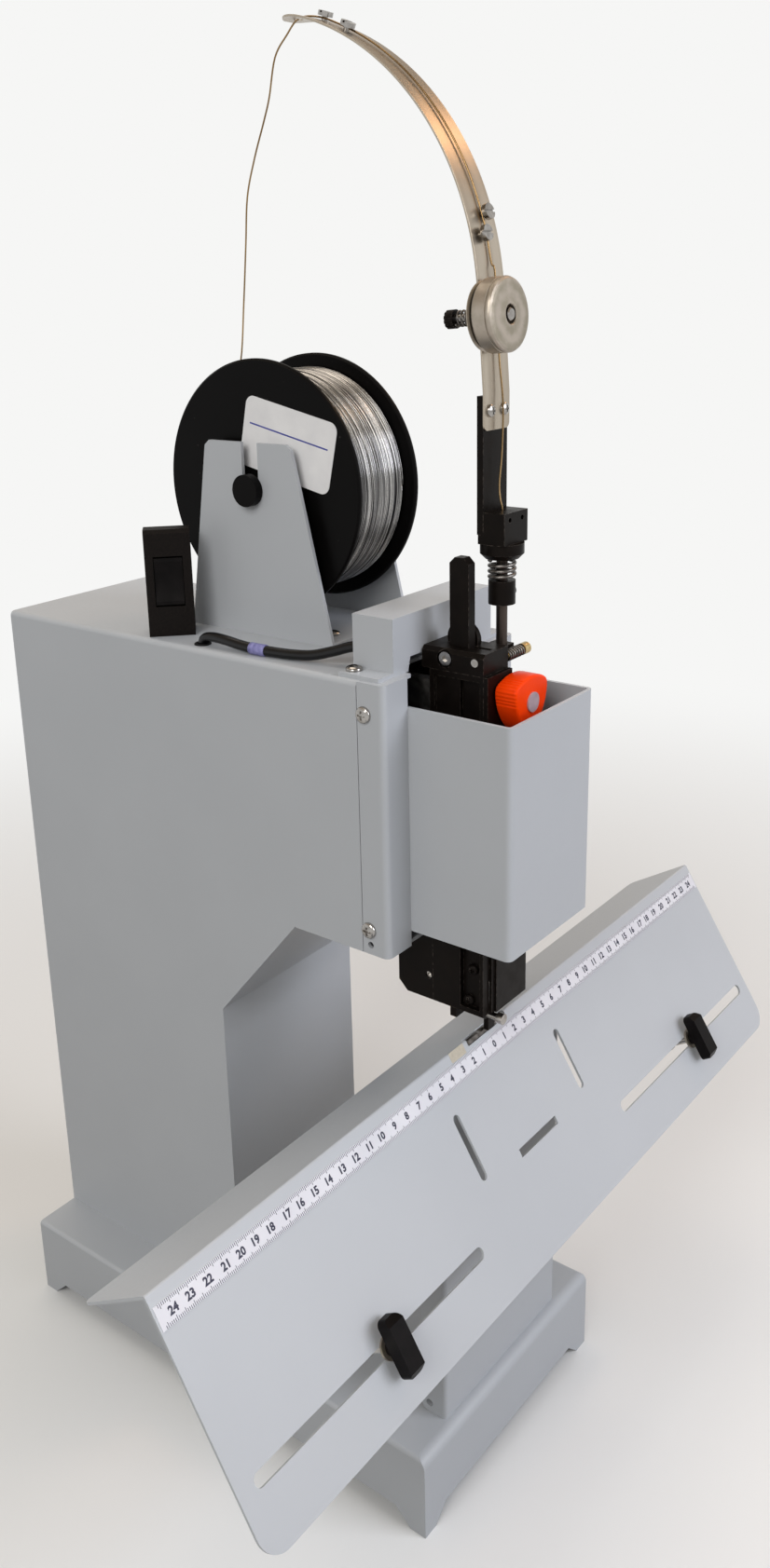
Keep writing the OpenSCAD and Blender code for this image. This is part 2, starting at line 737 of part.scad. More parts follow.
// A block behind the post whose nose stands in the ridge's opening
module clincher() color(dark_grey) {
  c = cos(table_tilt);
  s = sin(table_tilt);
  seat = table_t + gap;
  nose = notch - gap;
  skin = 0.6;
  front = post_front + sheet;
  rear = post_front + 22;
  low = ridge_z - 62;
  top_drop = 1.5;
  difference() {
    yz_slab(-clinch_w / 2, clinch_w / 2) polygon([
      off_ridge((c * skin - top_drop) / s, -skin), off_ridge(-nose, -skin), off_ridge(-nose, -seat),
      off_ridge((front - stitch_y - s * seat) / c, -seat), [front, low], [rear, low],
      off_ridge(-seat, -(rear - stitch_y + c * seat) / s), off_ridge(-seat, -nose), off_ridge(-skin, -nose),
      off_ridge(-skin, (s * skin - top_drop) / c)]);
    // Two hollows that turn the wire's legs inwards
    for (side = [-1, 1]) bar_y([side * 4, stitch_y - 5, ridge_z + 5.9], 16, 10);
    screw_holes();
  }
}

// A stop's T-handle, its bolt and its fixings, about local z
module stop_knob() color(black_plastic) difference() {
  union() {
    translate([0, 0, knob_foot]) cylinder(d = handle_w - 2, h = handle_z - knob_foot + 1);
    intersection() {
      translate([0, 0, handle_z]) linear_extrude(handle_w - 2.5) union() {
        square([handle_w, handle_l - 2 * handle_bevel], center = true);
        square([handle_w - 2 * handle_bevel, handle_l], center = true);
        for (x = [-1, 1], y = [-1, 1])
          translate([x * (handle_w / 2 - handle_bevel), y * (handle_l / 2 - handle_bevel)]) circle(handle_bevel);
      }
      yz_slab(-handle_w, handle_w) polygon([[-handle_l / 2, handle_z], [handle_l / 2, handle_z],
        [handle_l / 2, handle_top - handle_bevel], [handle_l / 2 - handle_bevel, handle_top],
        [-handle_l / 2 + handle_bevel, handle_top], [-handle_l / 2, handle_top - handle_bevel]]);
    }
  }
  translate([0, 0, -1]) cylinder(d = stop_bolt_d, h = handle_z + 4);
}
module stop_bolt() color(bright)
  translate([0, 0, -table_t - stop_bolt_l]) cylinder(d = stop_bolt_d, h = table_t + stop_bolt_l + handle_z + 3);
module stop_nut() color(zinc) {
  difference() {
    translate([0, 0, 0.05]) cylinder(d = 12, h = 1.2);
    translate([0, 0, -1]) cylinder(d = stop_bolt_d + 2 * fit, h = 4);
  }
  difference() {
    translate([0, 0, -table_t - stop_bolt_l + 0.5]) cylinder(d = stop_bolt_d + 4.2, h = 4, $fn = 6);
    translate([0, 0, -table_t - stop_bolt_l]) cylinder(d = stop_bolt_d + 2 * fit, h = 6);
  }
}
module left_stop() { on_table() translate([-stop_left_x, -stop_s, 0]) children(); }
module right_stop() { on_table() translate([stop_right_x, -stop_s, 0]) children(); }
module stop_knob_left() left_stop() stop_knob();
module stop_knob_right() right_stop() stop_knob();
module stop_bolt_left() left_stop() stop_bolt();
module stop_bolt_right() right_stop() stop_bolt();
module stop_nut_left() left_stop() stop_nut();
module stop_nut_right() right_stop() stop_nut();

// Stitching head

module head_body() color(black_steel) difference() {
  box([-hx, head_y, head_low], [hx, frame_front, body_top]);
  box([-channel_x, head_y - 1, head_low - 1], [channel_x, channel_y, body_top + 1]);
  // Way through for the drive lever
  box([-7, channel_y - 1, pivot_z - 42], [7, frame_front + 1, pivot_z + 42]);
  // Stepped panels in the left face
  box([-hx - 1, head_y + 2, head_low + 3], [-hx + 3, head_y + 14, body_top - 3]);
  box([-hx - 1, head_y + 14, cover_low + 20], [-hx + 1.2, frame_front - 3, body_top - 3]);
  // Step down at the right, beside the cap
  box([cap_right, head_y - 1, shoulder_z], [hx + 1, frame_front + 1, body_top + 1]);
  for (p = panel_screws) bar_x(p, 3, head_wall);
}

module head_front() color(black_steel) difference() {
  union() {
    box([-hx, head_y - front_t, cover_low - 5], [hx, head_y, body_top]);
    box([-channel_x + 3, head_y - front_t, head_low], [hx - 2, head_y, cover_low]);
  }
  box([cap_right, head_y - front_t - 1, shoulder_z], [hx + 1, head_y + 1, body_top + 1]);
  bar_y([0, head_y - 10, knob_z], knob_shaft_d + 2 * fit, 20);
}

module head_cap() color(black_steel) difference() {
  union() {
    box([-hx, head_y, body_top], [cap_right, frame_front + 4.5, cap_top]);
    // Lug that holds the feed tube
    box([cap_right - 1, arm_y - 3.4, cap_top - 8.5], [arm_x + 6, arm_y + 7.2, cap_top - 2.5]);
  }
  box([ram_x - gap, ram_y - ram_d - gap, body_top - 1], [ram_x + ram_t + gap, ram_y + gap, cap_top + 1]);
  // Shallow groove in the top, in front of the ram, and the chamfer along the left edge
  box([ram_x + ram_t - 2.2, head_y + 2.5, cap_top - 1.5], [ram_x + ram_t + 0.6, ram_y - ram_d + 1, cap_top + 1]);
  xz_slab(head_y - 1, frame_front + 5) polygon([[-hx - 1, cap_top + 1], [-hx - 1, cap_top - 2],
    [-hx, cap_top - 2], [-hx + 2, cap_top], [-hx + 2, cap_top + 1]]);
  // Socket screw, pin and side screw
  bar_x([-hx - 1, head_y + 22.5, cap_top - 5], 9, 3);
  bar_x([-hx - 1, head_y + 22.5, cap_top - 5], 4, 5);
  bar_x([-hx - 1, head_y + 5, cap_top - 4.5], 4, 6);
  bar_x([cap_right - 6, head_y + 1.9, cap_top - 5.8], 3.2 + 2 * fit, 10);
  bar_z([arm_x, arm_y, cap_top - 8], tube_d, 20);
}

// Places of the two round screws in the head's left panel
panel_screws = [[-hx + 3, head_y + 7.4, head_low + 25], [-hx + 3, head_y + 9.9, head_low + 6.6]];

// Screws and a pin in the head's left face, and the half-round pawl beside the ram
module cap_fittings() color(zinc) {
  for (p = panel_screws) translate(p) rotate([0, -90, 0]) pan_screw(6, 2.6, 3, head_wall - 3.5);
  difference() {
    bar_x([-hx + 0.8, frame_front + 3, head_low + 14], 4, 2.2);
    translate([-hx, frame_front + 3, head_low + 14]) rotate([0, 90, 0]) cylinder(d = 2.2, h = 2, $fn = 6);
  }
  difference() {
    union() {
      bar_x([-hx + 0.3, head_y + 22.5, cap_top - 5], 7, 1.7);
      bar_x([-hx + 0.3, head_y + 22.5, cap_top - 5], 4, 3.7);
    }
    translate([-hx, head_y + 22.5, cap_top - 5]) rotate([0, 90, 0]) cylinder(d = 3.6, h = 1.6, $fn = 6);
  }
  bar_x([-hx - 0.2, head_y + 5, cap_top - 4.5], 4, 5.2);
  intersection() {
    bar_x([ram_x + ram_t + 1.2, ram_y - 3, cap_top + 2.5], 18, 3);
    box([-hx, head_y, cap_top], [cap_right, frame_front, cap_top + 20]);
  }
}

module lower_block() color(black_steel) difference() {
  box([-hx, frame_front, head_low], [hx, frame_front + 22.5, arm_under]);
  yz_slab(-hx - 1, hx + 1) polygon([[frame_front + 16, head_low - 1], [frame_front + 23, head_low - 1],
    [frame_front + 23, head_low + 6]]);
  bar_x([-hx - 1, frame_front + 3, head_low + 14], 4, 4);
}

// What moves with the ram, at the top of its stroke

module ram_bar() color(black_steel)
  translate([ram_x, 0, 0]) yz_slab(0, ram_t) polygon([[ram_y - ram_d, pin_z + slide_half],
    [ram_y, pin_z + slide_half], [ram_y, ram_top - 3], [ram_y - 3, ram_top], [ram_y - ram_d + 3, ram_top],
    [ram_y - ram_d, ram_top - 3]]);

module slide_block() color(zinc) difference() {
  box([-channel_x + slide_fit, head_y + slide_fit, pin_z - slide_half],
    [channel_x - slide_fit, channel_y - slide_fit, pin_z + slide_half]);
  // Pocket for the lever's nose, open to the rear
  box([-5.6, stitch_y - 9, pin_z - 11], [5.6, channel_y + 5, pin_z + 11]);
  // Level slots for the lever's cross pin
  yz_slab(-12.5, 12.5) translate([0, pin_z])
    slot(stitch_y + 1 - pin_d / 2 - 1.4, pin_y + pin_d / 2 + 1.4, pin_d + 0.3);
}

module driver() color(bright) {
  box([-6.01, stitch_y - 1, head_low + 21], [6.01, stitch_y + 1, pin_z - slide_half]);
  for (side = [-1, 1]) translate([side * 6.8, stitch_y, (head_low + 21 + pin_z - slide_half) / 2])
    cube([1.6, 7, pin_z - slide_half - head_low - 21], center = true);
}

module presser_finger() color(black_steel) difference() {
  union() {
    bar_y([-presser_x, stitch_y - 7.6, presser_z], 6.4, 3);
    box([-presser_x, stitch_y - 7.6, presser_z - 2.6], [-2, stitch_y - 4.6, presser_z + 1.2]);
    box([-8, stitch_y - 7.6, presser_z - 11.6], [-2, stitch_y - 4.6, presser_z]);
  }
  bar_y([-presser_x, stitch_y - 10, presser_z], presser_pin_d + 2 * fit, 20);
}

module presser_pin() color(zinc) {
  bar_y([-presser_x, stitch_y - 15, presser_z], presser_pin_d, 24);
  bar_y([-presser_x, stitch_y - 18.5, presser_z], 6, 3.6);
  box([-hx + 2, stitch_y + 6, presser_z - 3.4], [-presser_x + 3.4, stitch_y + 10, head_low]);
}

module adjust_knob() color(orange) translate([0, knob_back, knob_z]) rotate([90, 0, 0]) difference() {
  linear_extrude(knob_d) difference() {
    intersection() {
      circle(knob_r);
      for_sides() circle(30);
    }
    // Ribs along the sides
    for (turn = [0, 120, 240], k = [-3:3]) rotate(turn + 90) translate([-17, 0]) rotate(k * 7)
      translate([30.3, 0]) circle(0.8);
  }
  translate([0, 0, -1]) cylinder(d = knob_shaft_d, h = knob_d + 2);
}

// The overlap of three wide circles, which gives a triangle with bulging sides and one corner down
module for_sides() {
  intersection() {
    rotate(90) translate([-17, 0]) children();
    rotate(210) translate([-17, 0]) children();
    rotate(330) translate([-17, 0]) children();
  }
}

module knob_shaft() color(zinc) {
  bar_y([0, knob_back - knob_d - 0.4, knob_z], knob_shaft_d, knob_d + front_t + gap + 3);
  bar_y([0, knob_back - knob_d - 1, knob_z], 10, 1);
}

module side_screw() color(brass) {
  bar_x([cap_right - 5, head_y + 1.9, cap_top - 5.8], 3.2, 20.2);
  bar_x([cap_right + 15, head_y + 1.9, cap_top - 5.8], 6, 5);
}

module side_spring() color(dark_grey)
  translate([cap_right + 0.9, head_y + 1.9, cap_top - 5.8]) rotate([0, 90, 0]) helix(2.5, 1.1, 2, 6.5, 8, 6);

// Feed arm

module feed_tube() color(zinc) difference() {
  bar_z([arm_x, arm_y, cap_top - 8], tube_d, block_z + 8 - cap_top + 8);
  bar_z([arm_x, arm_y, cap_top - 10], wire_d + 1.1, 120);
}

module clamp_sleeve() color(black_steel) {
  difference() {
    bar_z([arm_x, arm_y, sleeve_z], sleeve_d, sleeve_h);
    bar_z([arm_x, arm_y, sleeve_z - 1], tube_d, sleeve_h + 2);
  }
  translate([arm_x, arm_y, sleeve_z + sleeve_h / 2]) rotate([0, 90, -30])
    translate([0, 0, sleeve_d / 2 - 1]) cylinder(d = 3.4, h = 1.4);
}

module arm_spring() color(dark_grey)
  translate([arm_x, arm_y, spring_z + 1]) helix(6.2, 1.9, 2.7, 3.3, 8, 6);

module arm_holder() color(black_steel) difference() {
  union() {
    translate([arm_x, arm_y, collar_z]) rotate_extrude()
      polygon([[0, 0], [collar_d / 2 - 2.5, 0], [collar_d / 2, 2.5], [collar_d / 2, collar_h], [0, collar_h]]);
    box([arm_x - upright_w / 2, arm_y - 7.8, block_z], [arm_x + upright_w / 2, upright_y + 3, block_z + block_h]);
  }
  bar_z([arm_x, arm_y, collar_z - 1], tube_d, collar_h + 9);
  bar_z([arm_x, arm_y, block_z], 3, block_h + 1);
  box([arm_x - strip_w, upright_y, upright_z], [arm_x + strip_w, upright_y + 10, block_z + block_h + 1]);
  for (side = [-1, 1]) bar_y([arm_x + side * 5.5, arm_y - 9, block_z + 12], 2.5, 5);
}

module arm_upright() color(black_steel) difference() {
  box([arm_x - upright_w / 2, upright_y, upright_z],
    [arm_x + upright_w / 2, upright_y + upright_t, upright_z + upright_h]);
  screw_holes();
}

// A point on the strip's curve, in Y and Z, at a given lean, and off its middle by h
function on_curve(a, h) = [centre_y - (strip_r + h) * cos(a), centre_z + (strip_r + h) * sin(a)];

module guide_strip() color(bright) difference() {
  yz_slab(arm_x - strip_w / 2, arm_x + strip_w / 2) {
    translate([strip_y - strip_t / 2, strip_foot]) square([strip_t, bend_z - strip_foot]);
    polygon([[strip_y - strip_t / 2, bend_z], [strip_y + strip_t / 2, bend_z - 0.01],
      on_curve(strip_lean, -strip_t / 2), on_curve(strip_lean, strip_t / 2)]);
    intersection() {
      translate([centre_y, centre_z]) difference() {
        circle(strip_r + strip_t / 2, $fn = 180);
        circle(strip_r - strip_t / 2, $fn = 180);
      }
      polygon([[centre_y, centre_z], on_curve(strip_lean, 40), on_curve(30, 60), on_curve(55, 60),
        on_curve(strip_end, 40)]);
    }
  }
  // Round tip and its eye
  translate([0, 0, centre_z]) linear_extrude(strip_r + 20) difference() {
    translate([arm_x - strip_w, tip_y - strip_w / 2]) square([2 * strip_w, strip_w]);
    translate([arm_x, tip_y - strip_w / 2]) circle(strip_w / 2);
  }
  bar_z([arm_x, tip_y - 7, centre_z + 50], 4.4, strip_r);
  // Rounded lower corners
  xz_slab(strip_y - 5, strip_y + 5) for (side = [-1, 1])
    translate([arm_x + side * (strip_w / 2 - 3), strip_foot + 3]) difference() {
      translate([side > 0 ? 0 : -4, -4]) square(4);
      circle(3);
    }
  on_tension() translate([0, 0, -5]) cylinder(d = disc_bolt_d, h = 10);
  screw_holes();
}

// A slotted pin that stands out of the strip's outer face
module strip_pin(a, x) {
  p = on_curve(a, strip_t / 2);
  translate([x, p.x, p.y]) rotate([90 - a, 0, 0]) {
    cylinder(d = 3, h = 2.5);
    difference() {
      translate([0, 0, 1.9]) cylinder(d = 7.4, h = 2.2);
      translate([-5, -0.6, 3.2]) cube([10, 1.2, 2]);
    }
  }
}
module strip_pins() color(zinc) {
  strip_pin(14, arm_x - 2.7);
  strip_pin(17.8, arm_x + 2.5);
  strip_pin(64, arm_x - 2.7);
  strip_pin(71.5, arm_x + 2.5);
}

// Tension unit, about local z

// A thin rear disc on the strip, and a drum-shaped front disc with a grooved rim and a sunk middle
module tension_discs() color(zinc) on_tension() {
  r = disc_d / 2;
  bore = disc_bolt_d / 2 + fit;
  rear = disc_mid + disc_gap;
  front = rear + disc_l;
  rotate_extrude($fn = 72)
    polygon([[bore, disc_seat], [r - 1, disc_seat], [r - 1, disc_seat + 0.4], [r - 2, disc_seat + 1],
      [bore, disc_seat + 1]]);
  rotate_extrude($fn = 72)
    polygon([[bore, rear], [r - 2, rear], [r - 0.6, rear + 0.6], [r, rear + 1.4], [r, front - 3.8],
      [r - 0.5, front - 3.5], [r - 0.5, front - 3.2], [r, front - 2.9], [r, front - 2], [r - 0.5, front - 1.1],
      [r - 1.5, front - 0.5], [r - 3, front - 0.3], [4.8, front], [4.4, front - 0.4], [4.4, front - 5],
      [bore, front - 5]]);
}
module tension_bolt() color(bright) on_tension() {
  head = disc_mid + disc_gap + disc_l - 4.9;
  translate([0, 0, nut_z - 1]) cylinder(d = disc_bolt_d, h = head - nut_z + 1.5);
  translate([0, 0, head]) rotate_extrude() polygon([[0, 0], [2.9, 0], [2.9, 4.6], [2.4, 5.2], [0, 5.2]]);
}
module tension_spring() color(black_steel) on_tension()
  translate([0, 0, -14.8]) helix(3.4, 1.1, 2.2, 6, 8, 6);
module thumb_nut() color(black_steel) on_tension() difference() {
  translate([0, 0, nut_z]) cylinder(d = 8.8, h = 4.4);
  translate([0, 0, nut_z - 1]) cylinder(d = disc_bolt_d + 2 * fit, h = 8);
  for (a = [0:30:330]) rotate(a) translate([4.5, 0, nut_z - 1]) cylinder(d = 0.9, h = 8, $fn = 16);
}

// The wire's way, in X, Y and Z: off the spool, up to the strip's eye, along the strip, between the
// discs and down into the feed tube
function on_strip(a, x) = let (q = on_curve(a, strip_t / 2 + 1)) [x, q.x, q.y];
function at_discs(x, up) = [x, disc_y - disc_mid * cos(strip_lean) + up * sin(strip_lean),
  disc_z + disc_mid * sin(strip_lean) + up * cos(strip_lean)];
wound_y = axle_y + (wound_r + 1.6) * cos(40);
wound_z = axle_z + (wound_r + 1.6) * sin(40);
eye = on_curve(strip_end - 3, 0);
wire_way = concat(
  [[arm_x + 2, wound_y, wound_z], [arm_x + 2, wound_y - 9, wound_z + 11],
    [arm_x + 2, axle_y + 30.5, axle_z + 64], [arm_x + 1.5, axle_y + 25.5, axle_z + 95],
    [arm_x + 1, axle_y + 21.5, axle_z + 124], [arm_x + 0.5, axle_y + 18.3, axle_z + 147],
    [arm_x, axle_y + 11.6, axle_z + 165], [arm_x, axle_y + 4, axle_z + 182],
    [arm_x, eye.x + 21.4, eye.y - 32.8], [arm_x, eye.x + 16.6, eye.y - 15.5], [arm_x, eye.x + 8.5, eye.y - 6.5]],
  [[arm_x, eye.x, eye.y + 0.2]],
  [for (a = [72:-6:24]) on_strip(a, arm_x)],
  [on_strip(16, arm_x), on_strip(9, arm_x)],
  [for (up = [20, 0, -20]) at_discs(arm_x + 0.6, up)],
  [[arm_x + 1, arm_y + 0.6, strip_foot + 12], [arm_x + 0.6, arm_y + 0.8, block_z + block_h + 28],
    [arm_x - 0.6, arm_y + 1.4, block_z + block_h + 13], [arm_x - 0.8, arm_y + 0.8, block_z + block_h + 6],
    [arm_x, arm_y, block_z + block_h], [arm_x, arm_y, block_z + 6], [arm_x, arm_y, collar_z]]);

module stitching_wire() color(bright) tube(smooth(wire_way, 2), wire_d, 8);

// Spool and bracket

module spool() color(black_plastic) translate([spool_x, axle_y, axle_z]) rotate([0, 90, 0]) rotate_extrude($fn = 96)
  polygon([[axle_d / 2 + fit, -spool_w / 2], [spool_r - 1, -spool_w / 2], [spool_r, -spool_w / 2 + 1],
    [spool_r, -spool_w / 2 + flange_t - 1], [spool_r - 1, -spool_w / 2 + flange_t],
    [barrel_r, -spool_w / 2 + flange_t], [barrel_r, spool_w / 2 - flange_t],
    [spool_r - 1, spool_w / 2 - flange_t], [spool_r, spool_w / 2 - flange_t + 1], [spool_r, spool_w / 2 - 1],
    [spool_r - 1, spool_w / 2], [axle_d / 2 + fit, spool_w / 2]]);

module winding_core() color(bright) translate([spool_x, axle_y, axle_z]) rotate([0, 90, 0])
  difference() {
    cylinder(r = (wound_r - loop_wire / 2) * cos(7.5) - loop_wire / 2 - 0.1, h = winding_w, center = true);
    cylinder(r = barrel_r + 0.02, h = winding_w + 2, center = true);
  }

module wire_winding() color(bright) translate([spool_x - loop_pitch * loops / 2, axle_y, axle_z]) rotate([0, 90, 0])
  helix(wound_r - loop_wire / 2, loop_wire, loop_pitch, loops, 24, 6);

// The room between two neighbouring loops, from the points themselves
function loop_at(i) = let (a = 15 * i, r = wound_r - loop_wire / 2) [r * cos(a), r * sin(a), loop_pitch * i / 24];
echo(loop_gap = min([for (i = [0:23]) norm(loop_at(i + 24) - loop_at(i)) - loop_wire]));

module spool_axle() color(black_plastic) {
  bar_x([spool_x - bracket_x - sheet - gap - 5, axle_y, axle_z], axle_d, 2 * (bracket_x + sheet + gap + 5));
  for (side = [-1, 1]) translate([spool_x + side * (bracket_x + sheet + gap + 2.5), axle_y, axle_z])
    rotate([0, 90, 0]) cylinder(d = axle_d + 6, h = 5, center = true);
}

module spool_bracket() color(coat) difference() {
  union() {
    for (side = [-1, 1]) translate([spool_x + side * (bracket_x + sheet / 2) - sheet / 2, 0, 0]) yz_slab(0, sheet)
      polygon([[axle_y - bracket_fore, body_top], [axle_y + bracket_aft, body_top], [axle_y + 32.3, axle_z + 22],
        [axle_y + 29, axle_z + 24.7], [axle_y - 25.5, axle_z + 24.7], [axle_y - 29, axle_z + 22]]);
    box([spool_x - bracket_x - 0.01, axle_y - bracket_fore, body_top],
      [spool_x + bracket_x + 0.01, axle_y + bracket_aft, body_top + sheet]);
  }
  yz_slab(spool_x - bracket_x - 10, spool_x + bracket_x + 10) {
    translate([axle_y, axle_z]) circle(slot_r);
    translate([axle_y - slot_r, axle_z]) square([2 * slot_r, 40]);
  }
  screw_holes();
}

// Sensor cover and lead

module sensor_cover() color(coat) difference() {
  union() {
    difference() {
      box([-bar_w / 2, bar_front, body_top], [bar_w / 2, bar_rear, body_top + bar_h]);
      box([-bar_w / 2 + sheet, bar_front + sheet, body_top - 1],
        [bar_w / 2 - sheet, bar_rear - sheet, body_top + bar_h - sheet]);
      // Cut in the front wall over the head
      xz_slab(bar_front - 1, bar_front + sheet + 1) polygon([[-31, body_top - 1], [31, body_top - 1],
        [31, body_top], [29, body_top + 7.3], [-29, body_top + 7.3], [-31, body_top]]);
    }
    for (side = [-1, 1]) translate([side * (bar_w + bar_foot) / 2, (bar_front + bar_rear) / 2, body_top + sheet / 2])
      cube([bar_foot + 0.02, bar_d, sheet], center = true);
  }
  bar_y([lead_end.x, bar_rear - 10, lead_end.z], lead_d + 0.4, 20);
  screw_holes();
}

module ram_sensor() color(dark_grey)
  box([-26, bar_front + sheet + 2, body_top + bar_h - sheet - 14],
    [-4, bar_rear - sheet - 4, body_top + bar_h - sheet]);

// The lead's way, from its hole in the body's top to its hole in the cover's rear wall
lead_start = [-49, column_front + 6.3, body_top];
lead_end = [-38, bar_rear, body_top + 11];
lead_way = [[lead_start.x, lead_start.y, body_top - 9], [lead_start.x, lead_start.y, body_top - 1],
  [lead_start.x, lead_start.y - 1.8, body_top + 3.4], [lead_start.x, lead_start.y - 8, body_top + 5],
  [-49.4, column_front - 11.7, body_top + 4.8], [-49.4, column_front - 20.7, body_top + 3.8],
  [-49, column_front - 30.7, body_top + 3.1], [-48, column_front - 42.7, body_top + 2.9],
  [-46.5, bar_rear + 37, body_top + 3], [-44.5, bar_rear + 25, body_top + 4],
  [-42, bar_rear + 14, body_top + 7], [-39.5, bar_rear + 5, body_top + 10], [lead_end.x, bar_rear - 1, lead_end.z],
  [lead_end.x, bar_rear - 8, lead_end.z]];
module sensor_lead() color(black_plastic) tube(smooth(lead_way, 2), lead_d, 8);

// Switch

module switch_housing() color(black_plastic) on_switch() {
  difference() {
    translate([-switch_w / 2, 0, 0]) yz_slab(0, switch_w) polygon([[0, 0], [0, 2], [switch_lean, switch_h - 2],
      [switch_lean + 2, switch_h], [switch_d - 6, switch_h], [switch_d, switch_h - 22], [switch_d, 0]]);
    on_rocker() translate([-rocker_w / 2 - gap, -4, -rocker_l / 2 - 0.9])
      cube([rocker_w + 2 * gap, 13.5, rocker_l + 1.8]);
  }
  // Pin that the rocker turns on
  on_rocker() bar_x([-rocker_w / 2 - 1, rocker_t / 2 + 0.5, 0], 2.4, rocker_w + 2);
}

// The rocker's frame: local y runs into the switch's leaning face
module on_rocker() {
  translate([0, switch_lean / 2, switch_h / 2 + 1]) rotate([-atan(switch_lean / switch_h), 0, 0]) children();
}

module switch_rocker() color(black_plastic) on_switch() on_rocker() difference() {
  translate([-rocker_w / 2, 0.5, -rocker_l / 2]) cube([rocker_w, rocker_t, rocker_l]);
  // Hollow that a finger presses
  bar_x([-rocker_w, -38, 0], 80, 2 * rocker_w);
  bar_x([-rocker_w, rocker_t / 2 + 0.5, 0], 2.4 + 2 * fit, 2 * rocker_w);
}

// Drive, inside the arm and the column

module chassis() color(dark_grey) {
  // Right plate, from the base to the head
  difference() {
    union() {
      yz_slab(hx - head_wall, hx) polygon([[column_front + 20, base_h], [column_front + 20, throat_fold_z + 20],
        [column_front - 40, arm_under + 14], [frame_front, arm_under + 14], [frame_front, body_top - 6],
        [column_rear - 10, body_top - 6], [column_rear - 10, base_h]]);
      box([hx - 0.01, column_front + 30, base_h], [in_x - 12, column_rear - 20, base_h + 5]);
    }
    bar_x([hx - head_wall - 1, pivot_y, pivot_z], pivot_d - 2, head_wall + 2);
  }
  // Left plate in the arm only, clear of the cam
  yz_slab(-hx, -hx + head_wall) polygon([[pivot_y + 14, arm_under + 60], [column_front - 45, arm_under + 14],
    [frame_front, arm_under + 14], [frame_front, body_top - 6], [pivot_y + 14, body_top - 6]]);
  // Pivot shaft and spacers between the plates
  bar_x([-hx, pivot_y, pivot_z], pivot_d, head_w);
  bar_x([-hx + 1, frame_front + 50, body_top - 14], 10, head_w - 2);
  bar_x([-hx + 1, frame_front + 35, arm_under + 22], 10, head_w - 2);
  // Bracket that the gear motor hangs on
  box([-in_x + 0.5, cam_y - gearbox_w / 2, base_h], [-in_x + 4, cam_y + gearbox_w / 2, cam_z + gearbox_w / 2]);
  box([-in_x + 0.5, cam_y - gearbox_w / 2, base_h], [hx - head_wall + 0.01, cam_y + gearbox_w / 2, base_h + 4]);
}

module gear_motor() color(zinc) difference() {
  union() {
    box([-in_x + 4, cam_y - gearbox_w / 2, cam_z - cam_rim - 4],
      [cam_x - cam_t - 2, cam_y + gearbox_w / 2, cam_z + gearbox_w / 2]);
    bar_z([motor_d / 2 - in_x + 6, cam_y, cam_z - cam_rim - 4 - motor_l], motor_d, motor_l);
  }
  bar_x([-in_x + 8, cam_y, cam_z], shaft_d + 2 * fit, 60);
}

// Middle line of the cam's groove, in Y and Z, at an angle, and off it by h
function groove(b, h) = (cam_r + cam_rise * abs(b - 90) / 180 + h) * [cos(b), sin(b)];

module drive_cam() color(bright) translate([0, cam_y, cam_z]) {
  difference() {
    bar_x([cam_x - cam_t, 0, 0], 2 * cam_rim, cam_t);
    difference() {
      yz_slab(cam_x - groove_depth, cam_x + 1) polygon([for (b = [-90:5:265]) groove(b, groove_half)]);
      yz_slab(cam_x - groove_depth - 1, cam_x + 2) polygon([for (b = [-90:5:265]) groove(b, -groove_half)]);
    }
  }
  bar_x([-in_x + 9, 0, 0], shaft_d, cam_x + in_x - 10);
}

module drive_lever() color(dark_grey) translate([0, pivot_y, pivot_z]) rotate([-lever_half, 0, 0]) {
  difference() {
    union() {
      yz_slab(-5, 5) polygon([[-lever_front, 7], [-lever_front, -7], [0, -pivot_d / 2 - 8], [lever_rear, -10],
        [lever_rear, 10], [0, pivot_d / 2 + 8]]);
      bar_x([-5, -lever_front, 0], 14, 10);
      bar_x([-5, lever_rear, 0], 20, 10);
      bar_x([-10, 0, 0], pivot_d + 14, 20);
    }
    bar_x([-11, 0, 0], pivot_d + 2 * fit, 22);
  }
  // Cross pin in the slide block
  bar_x([-11.5, -lever_front, 0], pin_d, 23);
  // Follower in the cam's groove
  bar_x([cam_x - groove_depth + 0.6, lever_rear, 0], 2 * roller_r, groove_depth - 1);
  bar_x([cam_x - groove_depth + 0.6, lever_rear, 0], roller_r, groove_depth + 2);
}

module control_board() color("#2f5b3a") {
  y0 = column_front + 50;
  z0 = base_h + 70;
  box([hx + 6, y0, z0], [hx + 7.6, y0 + board_d, z0 + board_h]);
  for (y = [6, board_d - 6], z = [6, board_h - 6]) bar_x([hx, y0 + y, z0 + z], 5, 6.01);
  box([hx + 7.6, y0 + 10, z0 + 20], [hx + 22, y0 + 45, z0 + 60]);
}

// Moves a piece into the part's frame
module placed() { translate([0, shift_y, 0]) children(); }

echo(shift_y = shift_y, lever_deg = 2 * lever_half, pin_y = pin_y, pin_z = pin_z, cam_y = cam_y, cam_z = cam_z);

